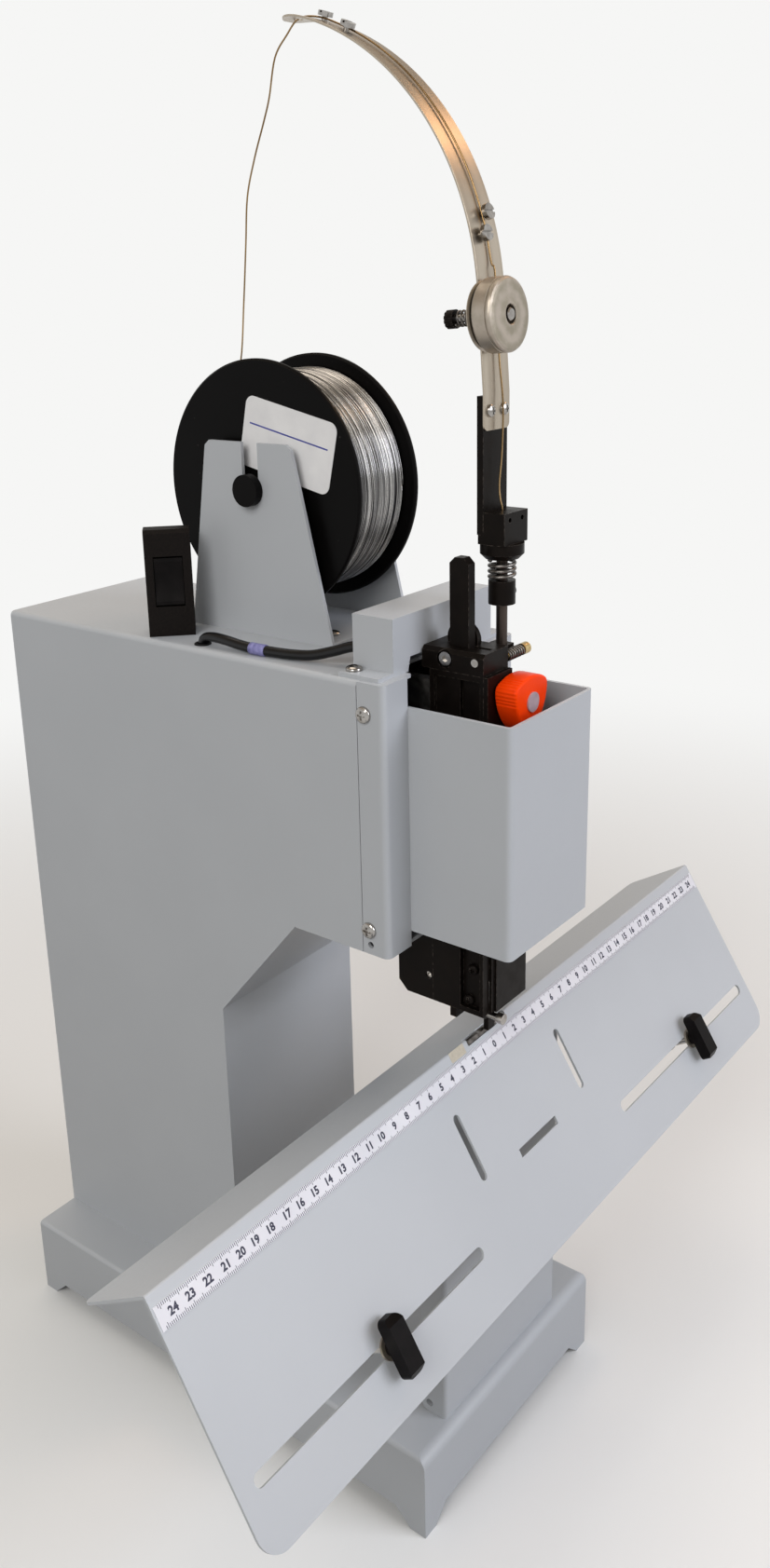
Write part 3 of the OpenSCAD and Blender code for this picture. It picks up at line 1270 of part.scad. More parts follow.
placed() base_tray();
placed() body_shell();
placed() throat_plate();
placed() rear_cover();
placed() rear_sockets();
placed() screws();
placed() head_frame();
placed() head_cover();
placed() front_post();
placed() table();
placed() ruler();
placed() clincher();
placed() stop_knob_left();
placed() stop_knob_right();
placed() stop_bolt_left();
placed() stop_bolt_right();
placed() stop_nut_left();
placed() stop_nut_right();
placed() head_body();
placed() head_front();
placed() head_cap();
placed() cap_fittings();
placed() lower_block();
placed() ram_bar();
placed() slide_block();
placed() driver();
placed() presser_finger();
placed() presser_pin();
placed() adjust_knob();
placed() knob_shaft();
placed() side_screw();
placed() side_spring();
placed() feed_tube();
placed() clamp_sleeve();
placed() arm_spring();
placed() arm_holder();
placed() arm_upright();
placed() guide_strip();
placed() strip_pins();
placed() tension_discs();
placed() tension_bolt();
placed() tension_spring();
placed() thumb_nut();
placed() stitching_wire();
placed() spool();
placed() winding_core();
placed() wire_winding();
placed() spool_axle();
placed() spool_bracket();
placed() sensor_cover();
placed() ram_sensor();
placed() sensor_lead();
placed() switch_housing();
placed() switch_rocker();
placed() chassis();
placed() drive_lever();
placed() drive_cam();
placed() gear_motor();
placed() control_board();
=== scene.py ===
"""An electric wire stitcher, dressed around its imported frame: paint, steel, plastic, wire and lead."""
import math
import random

import bmesh
import bpy
from mathutils import Matrix, Vector


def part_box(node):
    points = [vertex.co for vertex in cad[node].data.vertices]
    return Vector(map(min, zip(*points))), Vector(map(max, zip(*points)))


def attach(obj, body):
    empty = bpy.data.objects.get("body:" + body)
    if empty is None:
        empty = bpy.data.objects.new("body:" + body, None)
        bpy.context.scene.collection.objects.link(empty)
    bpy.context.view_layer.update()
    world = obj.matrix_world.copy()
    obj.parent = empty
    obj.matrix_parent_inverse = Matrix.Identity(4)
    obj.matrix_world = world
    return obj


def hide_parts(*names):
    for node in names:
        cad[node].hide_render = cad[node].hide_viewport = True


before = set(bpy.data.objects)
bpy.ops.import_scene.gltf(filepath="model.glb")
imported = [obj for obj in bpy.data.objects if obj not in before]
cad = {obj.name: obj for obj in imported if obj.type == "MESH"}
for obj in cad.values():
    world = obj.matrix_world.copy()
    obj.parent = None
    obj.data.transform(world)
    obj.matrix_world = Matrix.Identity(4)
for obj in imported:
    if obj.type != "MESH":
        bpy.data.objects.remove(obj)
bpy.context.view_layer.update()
scene = bpy.context.scene
scene.view_settings.view_transform = "Standard"


# The camera stands at the operator's left, above the head, and looks down at the table.
# Its focal length and its axis are given in pixels of the photograph's frame.
photo_w = 826
photo_h = 1683
focal_px = 1419.6
axis_px = (379.2, 745.2)
sensor_mm = 36
post_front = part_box("front_post")[0].y
camera_place = Vector((-0.5299, post_front - 0.3313, 0.6554))
camera_right = Vector((0.6217, -0.7827, -0.0282)).normalized()
camera_ahead = Vector((0.7416, 0.5998, -0.3003)).normalized()

camera_data = bpy.data.cameras.new("camera")
camera_data.sensor_width = sensor_mm
camera_data.lens = focal_px * sensor_mm / photo_h
camera_data.shift_x = (photo_w / 2 - axis_px[0]) / photo_h
camera_data.shift_y = (axis_px[1] - photo_h / 2) / photo_h
camera = bpy.data.objects.new("camera", camera_data)
camera_up = camera_right.cross(camera_ahead)
turned = Matrix((camera_right, camera_up, -camera_ahead)).transposed().to_4x4()
camera.matrix_world = Matrix.Translation(camera_place) @ turned
scene.collection.objects.link(camera)
scene.camera = camera


# The studio: a pale floor that runs out to the pale surround, a dim ceiling and four soft lamps.
# The floor takes the surround's own tone past a metre or so, so that no edge shows.
surround_hex = "F6F6F5"
ceiling_hex = "C0B3A3"
ceiling_from = 0.24
ceiling_full = 0.6
dome_low_hex = "E8E6E3"
dome_high_hex = "F2F0EC"
dome_strength = 0.4
floor_hex = "E8E8E7"
floor_shade_hex = "8A8987"
floor_size = 24.0
floor_plain = 0.4
floor_lost = 1.5


def linear(code):
    """An sRGB hex colour as linear RGBA."""
    channels = [int(code[i:i + 2], 16) / 255 for i in (0, 2, 4)]
    return [c / 12.92 if c <= 0.04045 else ((c + 0.055) / 1.055) ** 2.4 for c in channels] + [1]


def node(tree, kind, inputs=None, **settings):
    """Adds a node with its settings. An input takes a plain value, or a socket to link from."""
    made = tree.nodes.new(kind)
    for name, value in settings.items():
        setattr(made, name, value)
    for name, value in (inputs or {}).items():
        if isinstance(value, bpy.types.NodeSocket):
            tree.links.new(value, made.inputs[name])
        else:
            made.inputs[name].default_value = value
    return made


def empty_material(name):
    """A new material with no nodes in it, and its node tree."""
    made = bpy.data.materials.new(name)
    made.use_nodes = True
    made.node_tree.nodes.clear()
    return made, made.node_tree


def mesh_object(name, vertices, faces, material, smooth=True):
    """A new mesh in the frame's own axes, in metres."""
    mesh = bpy.data.meshes.new(name)
    mesh.from_pydata([tuple(v) for v in vertices], [], faces)
    mesh.validate()
    if smooth:
        mesh.shade_smooth()
    else:
        mesh.shade_flat()
    mesh.materials.append(material)
    made = bpy.data.objects.new(name, mesh)
    scene.collection.objects.link(made)
    return made


def shows_background(tree):
    """One for the rays that show the surround: the camera's, and those through glass or off a gloss."""
    rays = node(tree, "ShaderNodeLightPath").outputs
    shown = rays["Is Camera Ray"]
    for kind in ("Is Transmission Ray", "Is Glossy Ray"):
        shown = node(tree, "ShaderNodeMath", {0: shown, 1: rays[kind]}, operation="MAXIMUM").outputs[0]
    return shown


# The floor looks pale, but throws back only part of the light, as a studio's does away from the object
floor_paint, tree = empty_material("studio_floor")
place = node(tree, "ShaderNodeTexCoord").outputs["Object"]
reach = node(tree, "ShaderNodeVectorMath", {0: place}, operation="LENGTH").outputs["Value"]
lost = node(tree, "ShaderNodeMapRange", {"Value": reach, "From Min": floor_plain, "From Max": floor_lost},
            interpolation_type="SMOOTHSTEP")
shown = shows_background(tree)
fade = node(tree, "ShaderNodeMath", {0: lost.outputs[0], 1: shown}, operation="MULTIPLY")
paint = node(tree, "ShaderNodeMix", {"Factor": shown, 6: linear(floor_shade_hex), 7: linear(floor_hex)},
             data_type="RGBA")
matt = node(tree, "ShaderNodeBsdfDiffuse", {"Color": paint.outputs[2]})
glow = node(tree, "ShaderNodeEmission", {"Color": linear(surround_hex)})
mixed = node(tree, "ShaderNodeMixShader", {0: fade.outputs[0], 1: matt.outputs[0], 2: glow.outputs[0]})
node(tree, "ShaderNodeOutputMaterial", {"Surface": mixed.outputs[0]})
half = floor_size / 2
floor = mesh_object("floor", [(-half, -half, 0), (half, -half, 0), (half, half, 0), (-half, half, 0)],
                    [(0, 1, 2, 3)], floor_paint)

# The surround is pale to the eye, and lights the object as a dimmer dome
world = bpy.data.worlds.new("surround")
scene.world = world
world.use_nodes = True
tree = world.node_tree
tree.nodes.clear()
outward = node(tree, "ShaderNodeTexCoord").outputs["Generated"]
upward = node(tree, "ShaderNodeSeparateXYZ", {0: outward}).outputs["Z"]
overhead = node(tree, "ShaderNodeMapRange",
                {"Value": upward, "From Min": ceiling_from, "From Max": ceiling_full},
                interpolation_type="SMOOTHSTEP").outputs[0]
backdrop = node(tree, "ShaderNodeMix", {"Factor": overhead, 6: linear(surround_hex), 7: linear(ceiling_hex)},
                data_type="RGBA")
seen = node(tree, "ShaderNodeBackground", {"Color": backdrop.outputs[2], "Strength": 1.0})
dome = node(tree, "ShaderNodeMix", {"Factor": upward, 6: linear(dome_low_hex), 7: linear(dome_high_hex)},
            data_type="RGBA")
room = node(tree, "ShaderNodeBackground", {"Color": dome.outputs[2], "Strength": dome_strength})
both = node(tree, "ShaderNodeMixShader", {0: shows_background(tree), 1: room.outputs[0], 2: seen.outputs[0]})
node(tree, "ShaderNodeOutputWorld", {"Surface": both.outputs[0]})


def soft_lamp(name, place, target, size, watts, tint):
    """A square soft lamp that faces a point."""
    data = bpy.data.lights.new(name, "AREA")
    data.size = size
    data.energy = watts
    data.color = linear(tint)[:3]
    lamp = bpy.data.objects.new(name, data)
    lamp.location = place
    lamp.rotation_mode = "QUATERNION"
    lamp.rotation_quaternion = (Vector(target) - Vector(place)).to_track_quat("-Z", "Y")
    scene.collection.objects.link(lamp)


soft_lamp("front_lamp", place=(0.5, -1.95, 1.3), target=(0, -0.1, 0.3), size=1.2, watts=30, tint="F2F5FF")
soft_lamp("left_lamp", place=(-1.9, -0.5, 1.7), target=(0, 0, 0.3), size=1.2, watts=27, tint="FFFEFC")
soft_lamp("top_lamp", place=(0.3, 0.5, 2.2), target=(0, 0, 0.4), size=1.0, watts=9.5, tint="FFF3E4")
soft_lamp("right_lamp", place=(1.45, -0.5, 1.92), target=(0, -0.1, 0.65), size=0.45, watts=3.6, tint="FFC896")


# Sheet-steel pieces: base tray, body, throat plate, covers, post, table, bracket and sensor cover.
# They are laser-cut, folded and powder coated, which leaves a fine even stipple and a soft sheen.
coat_hex = "B6B9BD"
coat_dim_hex = "AFB2B6"
coat_rough = (0.36, 0.5)
coat_ior = 1.5
stipple_mm = 1.6
stipple_depth_mm = 0.03
stipple_strength = 0.35
cloud_mm = 70
sheet_edge_mm = 0.45

powder_coat, tree = empty_material("powder_coated_steel")
place = node(tree, "ShaderNodeTexCoord").outputs["Object"]
# The real stipple is about half a millimetre. It is drawn coarser, so that it shows.
stipple = node(tree, "ShaderNodeTexNoise", {"Vector": place, "Scale": 1000 / stipple_mm, "Detail": 2.0})
cloud = node(tree, "ShaderNodeTexNoise", {"Vector": place, "Scale": 1000 / cloud_mm, "Detail": 3.0})
tone = node(tree, "ShaderNodeMix",
            {"Factor": cloud.outputs["Fac"], 6: linear(coat_dim_hex), 7: linear(coat_hex)}, data_type="RGBA")
gloss = node(tree, "ShaderNodeMapRange",
             {"Value": stipple.outputs["Fac"], "To Min": coat_rough[0], "To Max": coat_rough[1]})
relief = node(tree, "ShaderNodeBump", {
    "Height": stipple.outputs["Fac"], "Strength": stipple_strength, "Distance": stipple_depth_mm / 1000})
skin = node(tree, "ShaderNodeBsdfPrincipled", {
    "Base Color": tone.outputs[2], "Roughness": gloss.outputs[0], "Normal": relief.outputs[0],
    "IOR": coat_ior})
node(tree, "ShaderNodeOutputMaterial", {"Surface": skin.outputs[0]})


def soften_edges(piece, edge_mm):
    """Rounds the sharp edges of a piece by a small width."""
    edge = piece.modifiers.new("edge", "BEVEL")
    edge.width = edge_mm / 1000
    edge.segments = 2
    edge.limit_method = "ANGLE"
    edge.angle_limit = math.radians(40)
    edge.harden_normals = True


def finish_node(name, material, edge_mm=0.0):
    """Gives a CAD node its material and, where asked, softened edges."""
    piece = cad[name]
    piece.data.materials.clear()
    piece.data.materials.append(material)
    if edge_mm:
        soften_edges(piece, edge_mm)


for name in ("base_tray", "body_shell", "throat_plate", "rear_cover", "head_frame", "head_cover",
             "front_post", "table", "spool_bracket", "sensor_cover"):
    finish_node(name, powder_coat, sheet_edge_mm)


# Screws, bolts and small pins: turned or cold-headed steel with a bright nickel plate.
# The plate is smooth and mirror-like, a little dulled by handling, so the heads catch the lamps. Its colour
# is painted darker than bright nickel, as a painted reflection of dim surroundings.
fitting_edge_mm = 0.15
# A noise pattern keeps mostly between these two values
noise_low = 0.3
noise_high = 0.7


def grained_finish(name, dark, light, grain_mm, rough, metallic=0.0, relief_mm=0.0, along=(1, 1, 1),
                   shine=0.5):
    """A finish whose tone and gloss drift over a grain of a real size, drawn out along an axis if asked."""
    made, tree = empty_material(name)
    place = node(tree, "ShaderNodeTexCoord").outputs["Object"]
    drawn = node(tree, "ShaderNodeMapping", {"Vector": place, "Scale": along}).outputs[0]
    grain = node(tree, "ShaderNodeTexNoise",
                 {"Vector": drawn, "Scale": 1000 / grain_mm, "Detail": 3.0}).outputs["Fac"]
    spread = node(tree, "ShaderNodeMapRange",
                  {"Value": grain, "From Min": noise_low, "From Max": noise_high}).outputs[0]
    tone = node(tree, "ShaderNodeMix", {"Factor": spread, 6: linear(dark), 7: linear(light)},
                data_type="RGBA")
    gloss = node(tree, "ShaderNodeMapRange", {"Value": spread, "To Min": rough[0], "To Max": rough[1]})
    sockets = {"Base Color": tone.outputs[2], "Roughness": gloss.outputs[0], "Metallic": metallic,
               "Specular IOR Level": shine}
    if relief_mm:
        relief = node(tree, "ShaderNodeBump",
                      {"Height": grain, "Strength": 0.5, "Distance": relief_mm / 1000})
        sockets["Normal"] = relief.outputs[0]
    skin = node(tree, "ShaderNodeBsdfPrincipled", sockets)
    node(tree, "ShaderNodeOutputMaterial", {"Surface": skin.outputs[0]})
    return made


# Painted reflection: the nickel's two tones are set dark, for the dim room that the heads mirror
nickel_painted_dark = grained_finish("nickel_plate_painted_dark_reflection", "8E8A86", "B2AFAB", grain_mm=4, rough=(0.12, 0.26),
                              metallic=1.0)
for name in ("screws", "stop_bolt_left", "stop_bolt_right", "tension_bolt", "cap_fittings", "presser_pin",
             "strip_pins"):
    finish_node(name, nickel_painted_dark, fitting_edge_mm)


# The stitching head and the feed arm's blocks: milled steel blackened in a hot oxide bath.
# The oxide is a deep warm black with a low oily sheen, and it wears through to grey along the edges.
oxide_dark_hex = "0B0908"
oxide_light_hex = "1A1512"
oxide_rough = (0.3, 0.5)
oxide_metallic = 0.3
oxide_shine = 0.07
oxide_grain_mm = 9
worn_hex = "5A524C"
wear_mm = 0.5
edge_starts = 0.99
edge_bare = 0.86
scuff_mm = 2.2
scuff_starts = 0.42
scuff_bare = 0.66

black_oxide, tree = empty_material("black_oxide_steel")
place = node(tree, "ShaderNodeTexCoord").outputs["Object"]
grain = node(tree, "ShaderNodeTexNoise",
             {"Vector": place, "Scale": 1000 / oxide_grain_mm, "Detail": 4.0}).outputs["Fac"]
tone = node(tree, "ShaderNodeMix", {"Factor": grain, 6: linear(oxide_dark_hex), 7: linear(oxide_light_hex)},
            data_type="RGBA")
# An edge is where the rounded normal turns away from the true one
rounded = node(tree, "ShaderNodeBevel", {"Radius": wear_mm / 1000}, samples=6).outputs[0]
true_normal = node(tree, "ShaderNodeNewGeometry").outputs["Normal"]
straight = node(tree, "ShaderNodeVectorMath", {0: rounded, 1: true_normal},
                operation="DOT_PRODUCT").outputs["Value"]
edge = node(tree, "ShaderNodeMapRange", {"Value": straight, "From Min": edge_starts, "From Max": edge_bare})
scuff = node(tree, "ShaderNodeTexNoise",
             {"Vector": place, "Scale": 1000 / scuff_mm, "Detail": 3.0}).outputs["Fac"]
scuff = node(tree, "ShaderNodeMapRange", {"Value": scuff, "From Min": scuff_starts, "From Max": scuff_bare})
worn = node(tree, "ShaderNodeMath", {0: edge.outputs[0], 1: scuff.outputs[0]}, operation="MULTIPLY")
colour = node(tree, "ShaderNodeMix", {"Factor": worn.outputs[0], 6: tone.outputs[2], 7: linear(worn_hex)},
              data_type="RGBA")
gloss = node(tree, "ShaderNodeMapRange", {
    "Value": grain, "From Min": noise_low, "From Max": noise_high,
    "To Min": oxide_rough[0], "To Max": oxide_rough[1]})
skin = node(tree, "ShaderNodeBsdfPrincipled", {
    "Base Color": colour.outputs[2], "Roughness": gloss.outputs[0], "Metallic": oxide_metallic,
    "Specular IOR Level": oxide_shine})
node(tree, "ShaderNodeOutputMaterial", {"Surface": skin.outputs[0]})
for name in ("head_body", "head_front", "head_cap", "lower_block", "ram_bar", "presser_finger",
             "clamp_sleeve", "arm_holder", "arm_upright", "thumb_nut"):
    finish_node(name, black_oxide, edge_mm=0.35)

# The pawl beside the ram, the two screws low on the head and the presser pin's hanger are black too
cap_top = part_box("head_cap")[1].z
cover_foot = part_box("head_cover")[0].z
plate_low, plate_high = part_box("head_front")
pin_low, pin_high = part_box("presser_pin")
low_screws_reach = 0.015


def is_pawl_or_low_screw(spot):
    """Whether a spot of the cap's fittings is on the pawl or on a screw low on the head."""
    low_on_head = spot.z < cover_foot and spot.y < plate_high.y + low_screws_reach
    return spot.z > cap_top or low_on_head


def is_hanger(spot):
    """Whether a spot of the presser pin is on its hanger, behind its middle."""
    return spot.y > (pin_low.y + pin_high.y) / 2


for name, is_black in (("cap_fittings", is_pawl_or_low_screw), ("presser_pin", is_hanger)):
    fittings = cad[name].data
    fittings.materials.append(black_oxide)
    for polygon in fittings.polygons:
        polygon.material_index = 1 if is_black(polygon.center) else 0


def rounded_rectangle(w, h, r, steps=6):
    """The outline of a rectangle about the origin, with round corners."""
    outline = []
    for quarter, (sx, sy) in enumerate(((1, 1), (-1, 1), (-1, -1), (1, -1))):
        for k in range(steps + 1):
            a = math.pi / 2 * (quarter + k / steps)
            outline.append((sx * (w / 2 - r) + r * math.cos(a), sy * (h / 2 - r) + r * math.sin(a)))
    return outline


def thin_plate(name, outline_mm, middle, along, up, thick_mm, material):
    """A flat closed plate on a face, standing out of it by its thickness. Its outline is in millimetres."""
    out = along.cross(up)
    vertices = [middle + (along * x + up * y + out * h) / 1000 for h in (0, thick_mm) for x, y in outline_mm]
    n = len(outline_mm)
    faces = [tuple(range(n - 1, -1, -1)), tuple(range(n, 2 * n))]
    faces += [(k, (k + 1) % n, n + (k + 1) % n, n + k) for k in range(n)]
    return mesh_object(name, vertices, faces, material, smooth=False)


# A thin strip closes the head's channel between its left wall and the front plate
gib_w_mm = 2.9
gib_h_mm = (cover_foot - plate_low.z) * 1000
gib_t_mm = 1.4
gib_r_mm = 0.3
gib_in_mm = 7.5
gib_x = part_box("head_body")[0].x + gib_in_mm / 1000
gib_middle = Vector((gib_x, plate_high.y, (cover_foot + plate_low.z) / 2))
gib_outline = rounded_rectangle(gib_w_mm, gib_h_mm, gib_r_mm, steps=2)
gib = thin_plate("channel_gib", gib_outline, gib_middle, Vector((1, 0, 0)), Vector((0, 0, 1)), gib_t_mm,
                 black_oxide)
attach(gib, "frame")


# What works inside the head, the arm and the table: clincher, slide, driver, lever, cam and chassis.
# They are milled from tool steel and left bare under a film of oil, which dims their shine.
# Grinding draws the grain of the sliding ones out along their height.
ground_steel = grained_finish("ground_tool_steel", "4B4744", "6F6B67", grain_mm=3, rough=(0.26, 0.42),
                              metallic=1.0, along=(1, 1, 0.15))
for name in ("slide_block", "driver", "clincher"):
    finish_node(name, ground_steel, edge_mm=0.2)
milled_steel = grained_finish("milled_steel_plate", "5B5956", "7C7976", grain_mm=5, rough=(0.34, 0.52),
                              metallic=1.0)
for name in ("chassis", "drive_lever", "drive_cam"):
    finish_node(name, milled_steel, edge_mm=0.3)


# Inside the column and the sensor cover: the control board and the ram's sensor, screwed in place.
# The board is glass fibre under a dull green varnish, and the sensor is moulded in dark, matt nylon.
board_green = grained_finish("green_circuit_board", "24502F", "356342", grain_mm=6, rough=(0.4, 0.55))
finish_node("control_board", board_green)
sensor_housing = grained_finish("dark_grey_nylon", "3C3E41", "4A4C50", grain_mm=4, rough=(0.45, 0.6))
finish_node("ram_sensor", sensor_housing, edge_mm=0.4)


# Tension discs, the stops' nuts and the motor's casing: pressed steel with a dull zinc plate.
# Zinc is pale grey and cloudy, and the pressed faces keep faint turned rings.
disc_low, disc_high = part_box("tension_discs")
disc_centre = (disc_low + disc_high) / 2
zinc_hex = "888172"
zinc_light_hex = "A99F93"
zinc_rough = (0.5, 0.36)
zinc_metallic = 0.85
zinc_cloud_mm = 5
zinc_low = 0.32
zinc_high = 0.68
ring_mm = 6.91
ring_share = 0.25
# A wave pattern of scale one has this many rings in a metre
wave_rings_per_metre = 20 / (2 * math.pi)

zinc_plate, tree = empty_material("zinc_plated_steel")
place = node(tree, "ShaderNodeTexCoord").outputs["Object"]
about = node(tree, "ShaderNodeVectorMath", {0: place, 1: disc_centre}, operation="SUBTRACT").outputs[0]
# Real turned rings lie under a millimetre apart. They are drawn coarser, so that they show.
rings = node(tree, "ShaderNodeTexWave", {
    "Vector": about, "Scale": 1000 / ring_mm / wave_rings_per_metre, "Distortion": 1.5, "Detail": 2.0},
    wave_type="RINGS", rings_direction="Y").outputs["Fac"]
cloud = node(tree, "ShaderNodeTexNoise",
             {"Vector": place, "Scale": 1000 / zinc_cloud_mm, "Detail": 4.0}).outputs["Fac"]
mixed = node(tree, "ShaderNodeMix", {"Factor": ring_share, 2: cloud, 3: rings}, data_type="FLOAT").outputs[0]
spread = node(tree, "ShaderNodeMapRange",
              {"Value": mixed, "From Min": zinc_low, "From Max": zinc_high}).outputs[0]
tone = node(tree, "ShaderNodeMix", {"Factor": spread, 6: linear(zinc_hex), 7: linear(zinc_light_hex)},
            data_type="RGBA")
gloss = node(tree, "ShaderNodeMapRange", {"Value": spread, "To Min": zinc_rough[0], "To Max": zinc_rough[1]})
skin = node(tree, "ShaderNodeBsdfPrincipled", {
    "Base Color": tone.outputs[2], "Roughness": gloss.outputs[0], "Metallic": zinc_metallic})
node(tree, "ShaderNodeOutputMaterial", {"Surface": skin.outputs[0]})
for name in ("tension_discs", "stop_nut_left", "stop_nut_right", "gear_motor"):
    finish_node(name, zinc_plate, edge_mm=0.2)


# The feed tube that leads the wire down into the head: drawn steel tube, held by the arm's blocks.
# It is browned by heat and oiled, so it looks dark and warm, with faint lines along its length.
browned_tube = grained_finish("browned_steel_tube", "2C2522", "463D37", grain_mm=6, rough=(0.28, 0.42),
                              metallic=0.8, along=(1, 1, 0.1))
finish_node("feed_tube", browned_tube, edge_mm=0.1)


# Three coil springs: one on the feed arm, one on the side screw and one behind the tension discs.
# They are wound from oiled spring wire, which shines a little along each turn, and their ends are cut square.
def tube_mesh(name, line, radius, material, sides=16):
    """A tube of one radius along a line of points, with closed ends."""
    vertices = []
    faces = []
    side = None
    for i, spot in enumerate(line):
        ahead = (line[min(i + 1, len(line) - 1)] - line[max(i - 1, 0)]).normalized()
        if side is None:
            side = ahead.orthogonal().normalized()
        side = (side - ahead * side.dot(ahead)).normalized()
        other = ahead.cross(side)
        for k in range(sides):
            a = 2 * math.pi * k / sides
            vertices.append(spot + radius * (math.cos(a) * side + math.sin(a) * other))
        if i:
            first = (i - 1) * sides
            for k in range(sides):
                n = (k + 1) % sides
                faces.append((first + k, first + n, first + sides + n, first + sides + k))
    faces.append(tuple(range(sides - 1, -1, -1)))
    faces.append(tuple(range(len(vertices) - sides, len(vertices))))
    return mesh_object(name, vertices, faces, material)


def coil_line(foot, axis, radius, pitch, turns, per_turn=28):
    """Points along a coil about an axis, from its foot, in metres."""
    axis = Vector(axis).normalized()
    u = axis.orthogonal().normalized()
    v = axis.cross(u)
    line = []
    for i in range(round(turns * per_turn) + 1):
        a = 2 * math.pi * i / per_turn
        line.append(Vector(foot) + axis * pitch * i / per_turn + radius * (math.cos(a) * u + math.sin(a) * v))
    return line


arm_lean = math.radians(4)
discs_axis = (0, -math.cos(arm_lean), math.sin(arm_lean))
tube_low, tube_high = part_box("feed_tube")
tube_axis = (tube_low + tube_high) / 2
screw_low, screw_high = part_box("side_screw")
screw_axis = (screw_low + screw_high) / 2
tension_low, tension_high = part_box("tension_spring")
tension_middle = (tension_low + tension_high) / 2
arm_wire_mm = 1.9
thin_wire_mm = 1.1
tension_pitch_mm = 2.2
tension_turns = 6
arm_foot = (tube_axis.x, tube_axis.y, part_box("arm_spring")[0].z + arm_wire_mm / 2000)
side_foot = (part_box("side_spring")[0].x + thin_wire_mm / 2000, screw_axis.y, screw_axis.z)
tension_foot = tension_middle - Vector(discs_axis) * tension_pitch_mm * tension_turns / 2000

spring_wire = grained_finish("oiled_spring_wire", "4A4744", "7A7672", grain_mm=3, rough=(0.24, 0.4),
                             metallic=0.9)
for name, foot, axis, radius_mm, thick_mm, pitch_mm, turns, slot in (
        ("arm_spring", arm_foot, (0, 0, 1), 6.2, arm_wire_mm, 2.7, 3.3, "inner_steel"),
        ("side_spring", side_foot, (1, 0, 0), 2.5, thin_wire_mm, 2.0, 6.5, "inner_steel"),
        ("tension_spring", tension_foot, discs_axis, 3.4, thin_wire_mm, tension_pitch_mm, tension_turns,
         "black_steel")):
    line = coil_line(foot, axis, radius_mm / 1000, pitch_mm / 1000, turns)
    spring = tube_mesh(name + "_coil", line, thick_mm / 2000, spring_wire, sides=10)
    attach(spring, "frame")
    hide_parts(name)


# The wire spool: two moulded flanges on a barrel, in black polystyrene with a smooth, dusty face.
# It turns on a black axle whose ends carry rounded caps.
plastic_hex = "060505"
plastic_hazy_hex = "0B0A0A"
plastic_rough = (0.3, 0.46)
plastic_ior = 1.55
plastic_shine = 0.05
haze_mm = 40
dust_hex = "6A6662"
dust_cover = 0.35
dust_apart_mm = 10.4
speck_rim_mm = 0.52
speck_core_mm = 0.312

spool_plastic, tree = empty_material("black_polystyrene")
place = node(tree, "ShaderNodeTexCoord").outputs["Object"]
dust = node(tree, "ShaderNodeTexVoronoi", {"Vector": place, "Scale": 1000 / dust_apart_mm})
speck = node(tree, "ShaderNodeMapRange", {
    "Value": dust.outputs["Distance"], "From Min": speck_rim_mm / dust_apart_mm,
    "From Max": speck_core_mm / dust_apart_mm}).outputs[0]
speck = node(tree, "ShaderNodeMath", {0: speck, 1: dust_cover}, operation="MULTIPLY").outputs[0]
haze = node(tree, "ShaderNodeTexNoise",
            {"Vector": place, "Scale": 1000 / haze_mm, "Detail": 4.0}).outputs["Fac"]
tone = node(tree, "ShaderNodeMix", {"Factor": haze, 6: linear(plastic_hex), 7: linear(plastic_hazy_hex)},
            data_type="RGBA")
colour = node(tree, "ShaderNodeMix", {"Factor": speck, 6: tone.outputs[2], 7: linear(dust_hex)},
              data_type="RGBA")
gloss = node(tree, "ShaderNodeMapRange", {
    "Value": haze, "From Min": noise_low, "From Max": noise_high,
    "To Min": plastic_rough[0], "To Max": plastic_rough[1]})
skin = node(tree, "ShaderNodeBsdfPrincipled", {
    "Base Color": colour.outputs[2], "Roughness": gloss.outputs[0], "IOR": plastic_ior,
    "Specular IOR Level": plastic_shine})
node(tree, "ShaderNodeOutputMaterial", {"Surface": skin.outputs[0]})
finish_node("spool", spool_plastic, edge_mm=0.3)
finish_node("spool_axle", spool_plastic, edge_mm=1.2)


# The wire on the spool: fine tinned steel wire, laid turn beside turn, with a few turns that stray across.
# Bright drawn wire mirrors its surroundings in bands that run along the roll, and painted reflection adds
# dark and bright turns.
spool_low, spool_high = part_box("spool")
spool_axis = (spool_low + spool_high) / 2
roll_r_mm = 60
roll_w_mm = 43.4
roll_margin_mm = 0.9
flange_gap_mm = 0.5
strand_mm = 0.8
roll_turns = 46
laid_in_mm = 0.75
stray_strand_mm = 2 / 3
stray_turns = 5
stray_in_mm = 0.25
stray_swing = 3
turn_steps = 84
# The painted dark and bright turns change over this width across the roll
painted_band_mm = 1.3

# Painted reflection: the tone runs from dark to bright from turn to turn and hardly along a turn, so it is
# drawn out along Y and Z
tinned_wire_painted_bands = grained_finish("tinned_wire_painted_reflection", "46464A", "D4D2CF", grain_mm=painted_band_mm, rough=(0.1, 0.24),
                             metallic=1.0, along=(1, 0.02, 0.02))
finish_node("winding_core", milled_steel)

